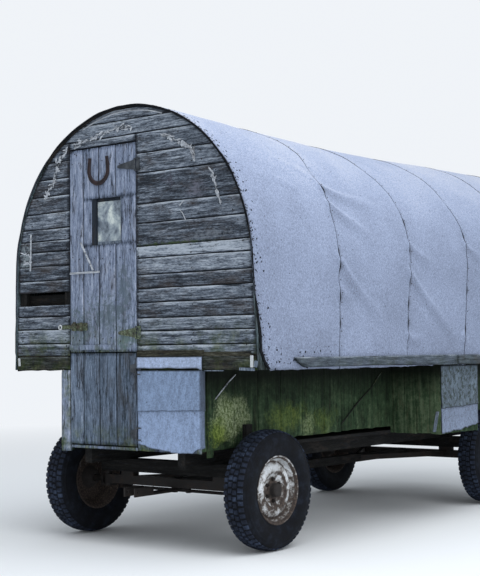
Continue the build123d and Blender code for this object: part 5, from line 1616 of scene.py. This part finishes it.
def round_corner(a, out, height):
    """A point on the front panel: a runs from its left edge, round the box's corner, and down the side."""
    if a < PANEL_FLAT:
        return (PANEL_LEFT + a, FRONT - out, height)
    if a < PANEL_FLAT + BEND_ARC:
        angle, reach = (a - PANEL_FLAT) / CORNER_BEND, CORNER_BEND + out
        x, y = reach * sin(angle), reach * cos(angle)
        return (PANEL_TURN - CORNER_BEND + x, FRONT + CORNER_BEND - y, height)
    return (PANEL_TURN + out, FRONT + CORNER_BEND + a - PANEL_FLAT - BEND_ARC, height)


def panel(low, high, lift, ragged, seed):
    """One scrap of the front panel between its torn foot and a height."""

    def surface(across, up):
        a = PANEL_RUN * across
        foot = float(np.interp(a, *zip(*low)))
        foot += ragged * (0.5 * wander(a * 9, seed) + 0.5 * wander(a * 33, seed))
        height = foot + (high + 0.002 * wander(a * 7, seed + 2) - foot) * up
        wave = 0.0017 * wander(a * 7, height * 6, seed) + 0.001 * wander(a * 2, height * 2, seed)
        curl = 0.005 * exp(-(height - foot) / 0.02) * (0.5 + 0.5 * wander(a * 6, seed * 3))
        shifted = a + 0.002 * wander(height * 11, seed) * (1 - across)
        return round_corner(shifted, lift + abs(wave) + curl, height)

    return surface


# The part of each panel that turns onto the box's side is painted darker, as painted shade.
PANEL_FOOT = [(0, 0.677), (0.1, 0.655), (0.29, 0.63), (0.46, 0.634), (0.51, 0.662), (0.6, 0.672)]
lower_panel = panel(PANEL_FOOT, 0.915, 0.004, 0.01, 1)
piece = sheet("front_panel_lower", 62, 34, lower_panel, panel_felt, 1, PANEL_SHADE, 0.66)
hang(piece, "front_cladding")
upper_panel = panel([(0, 0.884), (0.5, 0.897), (0.6, 0.894)], 1.146, 0.008, 0.005, 2)
piece = sheet("front_panel_upper", 62, 30, upper_panel, upper_felt, 2, PANEL_SHADE, 0.92)
hang(piece, None)


def flap(across, up):
    """The strip over the top of the panel, which sticks out past the corner."""
    x = PANEL_LEFT + (0.645 - PANEL_LEFT) * across
    corner = 0.016 * max(0, (across - 0.93) / 0.07)
    height = 1.161 - corner + (0.071 + corner) * up + 0.004 * wander(x * 12, 5) * (1 - up)
    return (x, FRONT - 0.012 - 0.0015 * abs(wander(x * 5, up * 2)) - 0.002 * (1 - up), height)


hang(sheet("front_panel_flap", 44, 8, flap, flap_felt, 3), None)

# %% [markdown]
# A store's cladding is two scraps. The lower one has a torn foot that climbs towards the back, and the
# upper one's lower edge curls out and slants a little, which gives the dark line across it.


# %% Cladding of the stores
def store_scrap(side, low, high, lift, seed):
    """One scrap on the outer face of a store, between two edges given as functions of the way along."""

    def surface(across, up):
        t = across if side > 0 else 1 - across
        y = FRONT + STORE_START + 0.004 + (STORE_END - STORE_START - 0.01) * t
        foot = low(t)
        height = foot + (high(t) - foot) * up
        wave = abs(0.003 * wander(y * 6, height * 5, seed))
        wave += 0.0012 * wander(y * 21, height * 19, seed)
        curl = 0.007 * exp(-(height - foot) / 0.022) * (0.6 + 0.4 * wander(y * 7, seed))
        return (side * (STORE_OUT + lift + max(wave, 0) + curl), y, height)

    return surface


def torn_foot(seed):
    return lambda t: 0.64 + 0.045 * t**1.5 + 0.012 * wander(t * 9, seed) + 0.006 * wander(t * 31, seed)


def lap(seed):
    return lambda t: 0.822 + 0.014 * t + 0.006 * wander(t * 8, seed)


for side, word in ((1, "left"), (-1, "right")):
    seed = 5 + side
    lower = store_scrap(side, torn_foot(seed), lambda t: 0.85, 0.0035, seed)
    piece = sheet(f"store_scrap_lower_{word}", 40, 18, lower, store_felt, seed)
    hang(piece, side > 0 and "side_cladding")
    upper = store_scrap(side, lap(seed), lambda t: 1.14, 0.0068, seed + 3)
    hang(sheet(f"store_scrap_upper_{word}", 40, 26, upper, store_old_felt, seed), None)

# %% [markdown]
# Wheels and tyres are turned shapes, so each is a line of points swung round the axle. The list of points
# runs along the outside first, because that is the side that shows: flange, groove, gutter, the disc's
# convex ring and the recess round the hub. How rusty each point is goes along with it.


# %% Turned shapes
def turned_shape(name, profile, centre, side, finish, parts, wear):
    """A closed line of (out, radius) points, in millimetres, swung round the axle through centre."""
    points, faces, values, rings = [], [], [], []
    for (out, radius), worn in zip(profile, wear):
        count = 1 if radius < 0.5 else parts
        rings.append((len(points), count))
        for k in range(count):
            angle = 2 * pi * k / parts
            y, z = radius / 1000 * cos(angle), radius / 1000 * sin(angle)
            points.append((centre[0] + side * (out / 1000), centre[1] + y, centre[2] + z))
            values.append(worn)
    for (a, many_a), (b, many_b) in zip(rings, rings[1:] + rings[:1]):
        for k in range(parts if many_a + many_b > 2 else 0):
            after = (k + 1) % parts
            if many_a == 1:
                faces.append((a, b + k, b + after))
            elif many_b == 1:
                faces.append((a + k, b, a + after))
            else:
                faces.append((a + k, a + after, b + after, b + k))
    return mesh_piece(name, points, faces, finish, {"wear": values}, smooth=True)


# Columns: out from the wheel's middle and radius in millimetres, and how rusty the metal is there
WHEEL_LINE = [
    (75, 219, 0.9), (76.6, 217.6, 0.9), (77, 215, 0.7), (76.4, 212, 0.6), (73.5, 210, 0.9), (69, 208.5, 1.6),
    (65, 204.5, 1.6), (62, 200.5, 1.0), (57, 198.6, 0.35), (46, 197.2, 0.25), (38, 195, 0.3), (33, 190, 0.4),
    (29.5, 183.5, 0.6), (28, 179.5, 1.6), (30, 177.2, 1.5), (34, 174.5, 0.5), (41, 167, 0.2),
    (47.5, 157, 0.1), (51.8, 147, 0.1), (54, 137, 0.15), (54.6, 128, 0.3), (53, 119, 0.8), (48.5, 111, 0.9),
    (42, 104.5, 0.5),
    (35.5, 98, 0.3), (31, 92, 0.35), (29, 85, 0.5), (28.5, 72, 0.45), (28.8, 62, 0.8), (30, 56, 1.3),
    (34, 50, 1.6), (41, 46.5, 1.8), (44.5, 44.3, 2.0), (52, 43.6, 2.0), (66, 43.2, 2.0), (71.5, 41.5, 2.0),
    (75, 37.5, 2.0), (77.2, 30, 2.0), (77.8, 18, 2.0), (77.4, 0, 2.0), (70, 0, 2.0), (70, 20.3, 2.0),
    (-45, 20.3, 2.0), (-45, 46, 2.0), (16, 74, 2.0), (22, 94, 1.2), (40, 110, 1.2), (47.5, 126, 1.2),
    (46.5, 142, 1.2), (34, 160, 1.2), (22, 176, 1.2), (-26, 176, 1.2), (-34, 194, 1.2), (-62, 199, 1.2),
    (-71, 206, 1.2), (-75, 213, 1.2), (-77, 218, 1.2), (-74, 219, 1.2), (-70.5, 213, 1.2), (-69, 206, 1.2),
    (-30, 202, 1.2), (-22, 182, 1.2), (22, 182, 1.2), (30, 202, 1.2), (69, 206, 1.2), (70.5, 213, 1.2),
]
WHEELS = [
    (f"{end}_{hand}", f"{end}_wheel_{hand}", (side * WHEEL_X, y, AXLE_Z), side)
    for end, y in (("front", FRONT_AXLE), ("rear", REAR_AXLE))
    for hand, side in (("left", 1), ("right", -1))
]
for name, body, centre, side in WHEELS:
    outline, wear = [row[:2] for row in WHEEL_LINE], [row[2] for row in WHEEL_LINE]
    disc = turned_shape(f"disc_{name}", outline, centre, side, disc_paint, 72, wear)
    hang(disc, f"wheel_{name}", body)

# %% [markdown]
# The tyre's carcass is turned the same way, with a rib round its sidewall and a smooth, low tread. Its
# blocks come next, because what repeats is quicker to place by rule.

# %% Carcasses of the tyres
TYRE_LINE = [
    (68.6, 206.4), (69.5, 213), (73, 220), (77, 226), (76.5, 230), (79.5, 236), (84.5, 248), (88.8, 262),
    (91.6, 278), (92.3, 294), (91.6, 308), (89.6, 321), (87.2, 330), (87.6, 333), (85.6, 338), (82, 341),
    (80.4, 346), (77, 353), (72, 361), (66, 367), (58, 371), (40, 374), (18, 375.2),
]
carcass = [*TYRE_LINE, (0, 375.5), *[(-out, radius) for out, radius in reversed(TYRE_LINE)]]
for name, body, centre, side in WHEELS:
    tyre = turned_shape(f"carcass_{name}", carcass, centre, side, rubber, 84, [0.0] * len(carcass))
    hang(tyre, f"tyre_{name}", body)

# %% [markdown]
# Nuts, nails, tread blocks and flakes are all the same idea: a small many-sided block on a point of a
# surface, turned to stand on it. One tree serves them all. Its inputs say how many sides the block has,
# how much it narrows, its size and the spread of sizes. Each point carries two directions, the way it
# faces and the way its length runs.

# %% A tree that stands small blocks on points
block_tree, given = new_tree(
    "standing_blocks", ("Sides", "Int", 6), ("Taper", "Float", 0.8), ("Turn", "Float", 0.0),
    ("Size", "Vector", (0.01, 0.01, 0.01)), ("Least", "Float", 0.9), ("Most", "Float", 1.1),
    ("Seed", "Int", 7),
)
spots = add_node(block_tree, "GeometryNodeMeshToPoints", {"Mesh": given["Geometry"]})
shape = {"Vertices": given["Sides"], "Radius Top": given["Taper"], "Radius Bottom": 1.0, "Depth": 1.0}
cone = add_node(block_tree, "GeometryNodeMeshCone", shape)
spin = add_node(block_tree, "ShaderNodeCombineXYZ", {"Z": given["Turn"]})
spun = add_node(block_tree, "GeometryNodeTransform", {"Geometry": cone, "Rotation": spin})
sized = add_node(block_tree, "GeometryNodeTransform", {"Geometry": spun, "Scale": given["Size"]})
facing, along = (
    add_node(block_tree, "GeometryNodeInputNamedAttribute", {"Name": label}, data_type="FLOAT_VECTOR")
    for label in ("facing", "along")
)
axes = {"primary_axis": "Z", "secondary_axis": "X"}
stand = add_node(block_tree, "FunctionNodeAxesToRotation", {0: facing, 1: along}, **axes)
chance = {2: given["Least"], 3: given["Most"], "Seed": given["Seed"]}
scale = add_node(block_tree, "FunctionNodeRandomValue", chance).outputs[1]
placing = {"Points": spots, "Instance": sized, "Rotation": stand, "Scale": scale}
close_tree(block_tree, given, add_node(block_tree, "GeometryNodeInstanceOnPoints", placing))


def blocks(name, spots, finish, size, sides=6, taper=0.8, turn=0.0, spread=0.1, seed=7):
    """Blocks on spots, each given as its place, the way it faces and the way its length runs."""
    places, faces_to, lengths = zip(*spots)
    inputs = {"Sides": sides, "Taper": taper, "Turn": turn, "Size": size, "Seed": seed, "Finish": finish}
    inputs |= {"Least": 1 - spread, "Most": 1 + spread}
    return grow(name, places, block_tree, inputs, {"facing": faces_to, "along": lengths})


# %% [markdown]
# A row of tread blocks needs a place, an outward direction and the axle's direction for each block. The
# shoulder rows are long blocks, and the two middle rows are shorter and set between them.


# %% Tread blocks and wheel nuts
def ring_spots(centre, out, radius, phase, lean=0.0, count=58):
    """Spots round the axle that face outwards from it, leaning to the side by an angle."""
    spots = []
    for k in range(count):
        angle = 2 * pi * (k + phase) / count
        radial = Vector((0, cos(angle), sin(angle)))
        face = (radial * cos(lean) + Vector((sin(lean), 0, 0))).normalized()
        way = (Vector((cos(lean), 0, 0)) - radial * sin(lean)).normalized()
        spots.append((Vector(centre) + Vector((out, 0, 0)) + radial * radius, face, way))
    return spots


EIGHTH_TURN, ROOT_TWO = pi / 4, sqrt(2)
# Columns: size, sides, taper, turn and spread of the blocks
SHOULDER = ((0.0185 * ROOT_TWO, 0.0142 * ROOT_TWO, 0.0056), 4, 0.86, EIGHTH_TURN, 0.03)
MIDDLE = ((0.0138 * ROOT_TWO, 0.0145 * ROOT_TWO, 0.007), 4, 0.88, EIGHTH_TURN, 0.02)
NUT, STUD = ((0.0125, 0.0125, 0.016), 6, 0.82, 0.0, 0.05), ((0.0062, 0.0062, 0.0235), 8, 0.75, 0.0, 0.05)
for number, (name, body, centre, side) in enumerate(WHEELS):
    phase = number * 0.23
    shoulder, middle = [], []
    for end in (1, -1):
        shoulder += ring_spots(centre, end * 0.056, 0.369, phase + end * 0.25, end * 0.3)
        middle += ring_spots(centre, end * 0.0165, 0.3742, phase + 0.5 + end * 0.1)
    for row, spots, look in (("shoulder", shoulder, SHOULDER), ("middle", middle, MIDDLE)):
        tread = blocks(f"{row}_blocks_{name}", spots, tread_rubber, *look, number)
        hang(tread, None, body)
    nuts = []
    for k in range(6):
        angle = pi / 2 + k * pi / 3 + number * 0.19
        spot = Vector(centre) + Vector((side * 0.028, 0.0698 * cos(angle), 0.0698 * sin(angle)))
        nuts.append((spot, (side, 0, 0), (0, cos(angle * 3.7), sin(angle * 3.7))))
    for part, look in (("wheel_nuts", NUT), ("stud_tips", STUD)):
        hang(blocks(f"{part}_{name}", nuts, gear_iron, *look, number), None, body)

# %% [markdown]
# Nails hold the boards to the frame behind them, and tacks with wide heads hold the roofing. Both are
# small, dark and slightly uneven. The boards of the end wall have pairs of nails, one above the other,
# and a row of tacks follows each seam a little behind its edge.

# %% Nails and tacks
random.seed(2401)
NAIL, TACK, FLAKE = (0.0042, 0.0042, 0.0022), (0.0052, 0.0052, 0.0022), (0.0068, 0.0044, 0.0012)


def facing(spot, face):
    """A spot for a block that faces a given way, turned at random."""
    face = Vector(face)
    guess = Vector((random.uniform(-1, 1), random.uniform(-1, 1), random.uniform(-1, 1)))
    return spot, tuple(face), (guess - face * guess.dot(face)).normalized()


def wall_nails(table, columns):
    """Two nails in each board of a stack, at each column that lies under the arch."""
    spots = []
    low = BENCH_TOP
    for edge, tone in table:
        high = BENCH_TOP + edge / 1000
        limit = half_width(high, 0.075)
        for column in columns:
            for share in (0.24, 0.76):
                x = copysign(min(abs(column), limit), column) + random.uniform(-0.012, 0.012)
                z = low + (high - low) * share + random.uniform(-0.008, 0.008)
                spots.append(facing(Vector((x, FRONT - 0.0008, z)), (0, -1, 0)))
        low = high
    return spots


nail_spots = wall_nails(RIGHT_WALL, (0.122, 0.56, 1.02))
nail_spots += wall_nails([row for k, row in enumerate(LEFT_WALL) if k != MISSING], (-0.56, -0.98))
hang(blocks("wall_nails", nail_spots, gear_iron, NAIL, 7, 0.6, 0.0, 0.25, 3), None)

door_nails = []
for ledge in (1.345, 1.905, 2.525):
    for x0, x1, tone in DOOR_BOARDS:
        for share in (0.25, 0.75):
            spot = Vector((x0 + (x1 - x0) * share, FRONT - 0.0008, ledge + random.uniform(-0.03, 0.03)))
            if not (WINDOW[0] < spot.x < WINDOW[1] and WINDOW[2] < spot.z < WINDOW[3]):
                door_nails.append(facing(spot, (0, -1, 0)))
nails = blocks("door_nails", door_nails, gear_iron, NAIL, 7, 0.6, 0.0, 0.25, 5)
hang(nails, None, "door_upper")


def on_felt(number, side, s, y, ahead, sunk):
    """A spot on the roofing, a little way behind a strip's edge."""
    base = Vector(roof_point(side, s, y, 0.0))
    face = (Vector(roof_point(side, s, y, 0.1)) - base).normalized()
    spot = Vector(roof_point(side, s, y, skin_out(number, side, s, y, ahead, 0.8) - sunk))
    spot.z = min(spot.z, cad_high[2] - 0.0024)
    return facing(spot, face)


def tack_spots():
    """Tacks along every seam over the whole arch, and along the front edge."""
    spots = []
    for number in (*range(1, LAST_STRIP), 0):
        start, step, loose = (0.05, 0.085, 0.02) if number else (0.06, 0.07, 0.025)
        behind, early, late = (0.022, 0.003, 0.003) if number else (0.024, 0.008, 0.014)
        for side in (1, -1):
            s = start
            while s < HALF_RUN:
                y = edge_y(number, side, s) + behind + random.uniform(-early, late)
                spots.append(on_felt(number, side, s, y, behind, 0.0006))
                s += step + random.uniform(-loose, loose)
    return spots


def flake_spots(count):
    """Dark flakes where grit has gone, near the felt's front edge and along its foot."""
    spots = []
    for k in range(count):
        s = HALF_RUN * random.random() if k % 3 else 0.15 * random.random()
        behind = 0.004 + 0.11 * random.random() ** 2.2 if k % 3 else 2.2 * random.random()
        if behind < 0.75:
            spots.append(on_felt(0, 1, s, edge_y(0, 1, s) + behind, behind, 0.0003))
    return spots


hang(blocks("roof_tacks", tack_spots(), gear_iron, TACK, 7, 0.55, 0.0, 0.2, 11), None)
hang(blocks("edge_flakes", flake_spots(330), edge_felt, FLAKE, 5, 0.8, 0.0, 0.5, 23), None)

# %% [markdown]
# Scraps of an older cover still hang from their tacks along an arc on the wall. They are pale, torn and
# curled. A scrap is a thin block with few sides that stands nearly on edge, and many of them along a line
# look like frayed cloth.


# %% Pale scraps along the old cover's line
def scraps(line, count, across):
    """Spots scattered along a line of (x, z) points, in millimetres, on the wall."""
    line = [(x / 1000, z / 1000) for x, z in line]
    lengths = [dist(a, b) for a, b in zip(line, line[1:])]
    spots = []
    for k in range(count):
        reach = sum(lengths) * random.random()
        piece = 0
        while reach > lengths[piece] and piece < len(lengths) - 1:
            reach -= lengths[piece]
            piece += 1
        t = min(reach / lengths[piece], 1.0)
        (x0, z0), (x1, z1) = line[piece], line[piece + 1]
        x = x0 + (x1 - x0) * t + random.gauss(0, across)
        z = z0 + (z1 - z0) * t + random.gauss(0, across)
        face = Vector((random.uniform(-0.5, 0.5), -1.0, random.uniform(-0.5, 0.5))).normalized()
        way = Vector((x1 - x0, 0, z1 - z0)).normalized()
        way += Vector((random.gauss(0, 0.5), 0, random.gauss(0, 0.5)))
        way = (way - face * way.dot(face)).normalized()
        spots.append((Vector((x, FRONT - 0.001 - 0.004 * random.random(), z)), tuple(face), tuple(way)))
    return spots


# Places on the wall as (x, z), in millimetres
RIGHT_LINE = [(330, 2652), (388, 2628), (460, 2593), (531, 2557), (566, 2542), (587, 2470)]
LOWER_LINE = [(725, 2386), (745, 2336), (758, 2281), (784, 2215), (797, 2166)]
CHIP_LINES = [[(506, 2216), (485, 2203), (463, 2181)], [(470, 2156), (492, 2131), (514, 2092)]]
LEFT_LINE = [(-540, 2640), (-610, 2583), (-640, 2520), (-660, 2444), (-700, 2410), (-751, 2334)]
LINTEL_LINE = [(-480, 2672), (-332, 2688), (-219, 2716), (-109, 2735), (-15, 2752), (60, 2722)]
CHALK_LINE = [(-985, 1965), (-930, 1955), (-905, 1900), (-980, 1885)]
scrap_spots = []
for line, count, across in (
    (RIGHT_LINE, 80, 0.0065), (LOWER_LINE, 40, 0.005), (LEFT_LINE, 70, 0.01), (LINTEL_LINE, 80, 0.01),
    (CHALK_LINE, 16, 0.01),
):
    scrap_spots += scraps(line, count, across)
hang(blocks("pale_scraps", scrap_spots, pale_wood, (0.0165, 0.005, 0.003), 5, 0.55, 0.3, 0.55, 17))
for number, line in enumerate((LINTEL_LINE, LEFT_LINE, RIGHT_LINE[:4], LOWER_LINE, *CHIP_LINES)):
    path = [(x / 1000, FRONT - 0.0025, z / 1000) for x, z in line]
    tear, finish = (0.03, rag_cloth) if number < 4 else (0.012, pale_wood)
    hang(swept(f"cloth_strip_{number + 1}", path, finish, 0.006, tear, 20.0 + number))

# %% [markdown]
# At the front corner the sill's end is covered by a small white board, and a thin mossy strip stands
# between the end wall and the roofing's set-back edge.

# %% Corner pieces
CORNER_PIECES = {
    "corner_board": (white_wood, 0.002, [
        ((1.02, FRONT - 0.015, 1.166), (1.04, FRONT - 0.0045, 1.238)),
        ((-1.026, FRONT - 0.011, 1.176), (-1.008, FRONT - 0.003, 1.232), turned(-1.017, 1.2, 0.1)),
    ]),
    "corner_chip": (casing_wood, 0.003, [
        ((1.046, FRONT - 0.012, 1.166), (1.07, FRONT - 0.003, 1.206), turned(1.058, 1.186, -0.2)),
    ]),
    "sill_lip": (casing_wood, 0.002, [
        ((0.93, FRONT - 0.006, 1.146), (1.046, FRONT - 0.0005, 1.164), turned(0.99, 1.155, -0.03)),
        ((0.655, FRONT - 0.004, 1.143), (0.8, FRONT + 0.01, 1.149)),
    ]),
    "foot_strip": (brown_wood, 0.003, [
        ((0.093, FRONT - 0.006, 1.237), (0.655, FRONT - 0.001, 1.277), turned(0.093, 1.249, -0.006)),
        ((0.655, FRONT - 0.003, 1.234), (1.02, FRONT - 0.0005, 1.262)),
    ]),
    # The board inside the gap wears the near-black rough wood: painted shade inside the cabin.
    "inner_board": (cross_wood, 0.003, [((-0.985, FRONT + 0.06, 1.59), (-0.56, FRONT + 0.075, 1.668))]),
}
for name, (finish, edge, parts) in CORNER_PIECES.items():
    hang(beams(name, parts, finish, edge))

# %% [markdown]
# The picture is taken on a plain pale floor under soft, even light, as on an overcast day. The floor's
# colour that the camera sees is kept near white by a Light Path node, while it still shows the shadow.
# The lamps are large, so that the shadows under the wagon have no hard edge.

# %% Floor, sky and soft light
SKY_SEEN = (0.87, 0.9, 0.94, 1)
world = bpy.data.worlds.new("overcast")
world.use_nodes = True
sky = world.node_tree
sky.nodes.clear()
camera_ray = add_node(sky, "ShaderNodeLightPath").outputs["Is Camera Ray"]
lit = add_node(sky, "ShaderNodeBackground", {"Color": (0.9, 0.95, 1, 1), "Strength": 0.62})
seen = add_node(sky, "ShaderNodeBackground", {"Color": SKY_SEEN})
choose = add_node(sky, "ShaderNodeMixShader", {0: camera_ray, 1: lit, 2: seen})
add_node(sky, "ShaderNodeOutputWorld", {"Surface": choose})
bpy.context.scene.world = world

plain = Finish("plain_floor")
white = plain.node("ShaderNodeBsdfPrincipled", {"Base Color": (0.86, 0.88, 0.9, 1), "Roughness": 0.95})
reach = plain.node("ShaderNodeVectorMath", {0: plain.place}, operation="LENGTH").outputs["Value"]
camera_ray = plain.node("ShaderNodeLightPath").outputs["Is Camera Ray"]
far = plain.times(plain.span(reach, 3.5, 13), camera_ray)
seen = plain.node("ShaderNodeEmission", {"Color": SKY_SEEN})
choose = plain.node("ShaderNodeMixShader", {0: far, 1: white, 2: seen})
plain.node("ShaderNodeOutputMaterial", {"Surface": choose})
floor_mesh = bpy.data.meshes.new("floor")
floor_mesh.from_pydata([(-40, -40, 0), (40, -40, 0), (40, 60, 0), (-40, 60, 0)], [], [(0, 1, 2, 3)])
floor_mesh.materials.append(plain.material)
floor = added("floor", floor_mesh)


def soft_lamp(name, place, target, size, power):
    """A large square lamp that looks at a point."""
    data = bpy.data.lights.new(name, "AREA")
    data.shape, data.size, data.energy, data.color = "SQUARE", size, power, (0.96, 0.98, 1)
    lamp = added(name, data)
    lamp.location = place
    lamp.rotation_euler = (Vector(target) - Vector(place)).to_track_quat("-Z", "Y").to_euler()
    return lamp


sky_lamp = soft_lamp("sky_lamp", (3, -2, 9), (0, 0, 1.4), 9, 620)
side_lamp = soft_lamp("side_lamp", (9, -4, 4.5), (0, 0, 1.6), 6, 200)
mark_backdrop(floor, sky_lamp, side_lamp)
print("floor and two lamps")

# %% [markdown]
# The camera stands where the photographer stood: low, in front of the wagon's left corner. Its place and
# lens were worked out from the wheels, the arch and the eave, which line up with the photograph. It also
# leans over by half a degree.

# %% Camera
YAW, PITCH, ROLL = radians(37.98), radians(2.92), radians(-0.647)
ahead = Vector((-sin(YAW) * cos(PITCH), cos(YAW) * cos(PITCH), sin(PITCH)))
level_right = Vector((cos(YAW), sin(YAW), 0))
level_up = level_right.cross(ahead)
right = level_right * cos(ROLL) + level_up * sin(ROLL)
up = level_up * cos(ROLL) - level_right * sin(ROLL)
camera = added("camera", bpy.data.cameras.new("camera"))
camera.data.lens, camera.data.sensor_width = 78.125, 36
camera.rotation_euler = Matrix((right, up, -ahead)).transposed().to_euler()
camera.location = (5.584, -8.235, 1.26)
bpy.context.scene.camera = camera
bpy.context.scene.view_settings.view_transform = "Standard"
camera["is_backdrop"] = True
print("camera lens", camera.data.lens)

# %% [markdown]
# Last come the sizes. The visual model should fill the same box as the solids, so both boxes are written
# down for comparison.

# %% Sizes and the end
low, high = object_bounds()
sizes = {"solids": [list(cad_low), list(cad_high)], "visual": [list(low), list(high)]}
for label, (start, end) in sizes.items():
    print(label, [round(b - a, 3) for a, b in zip(start, end)])
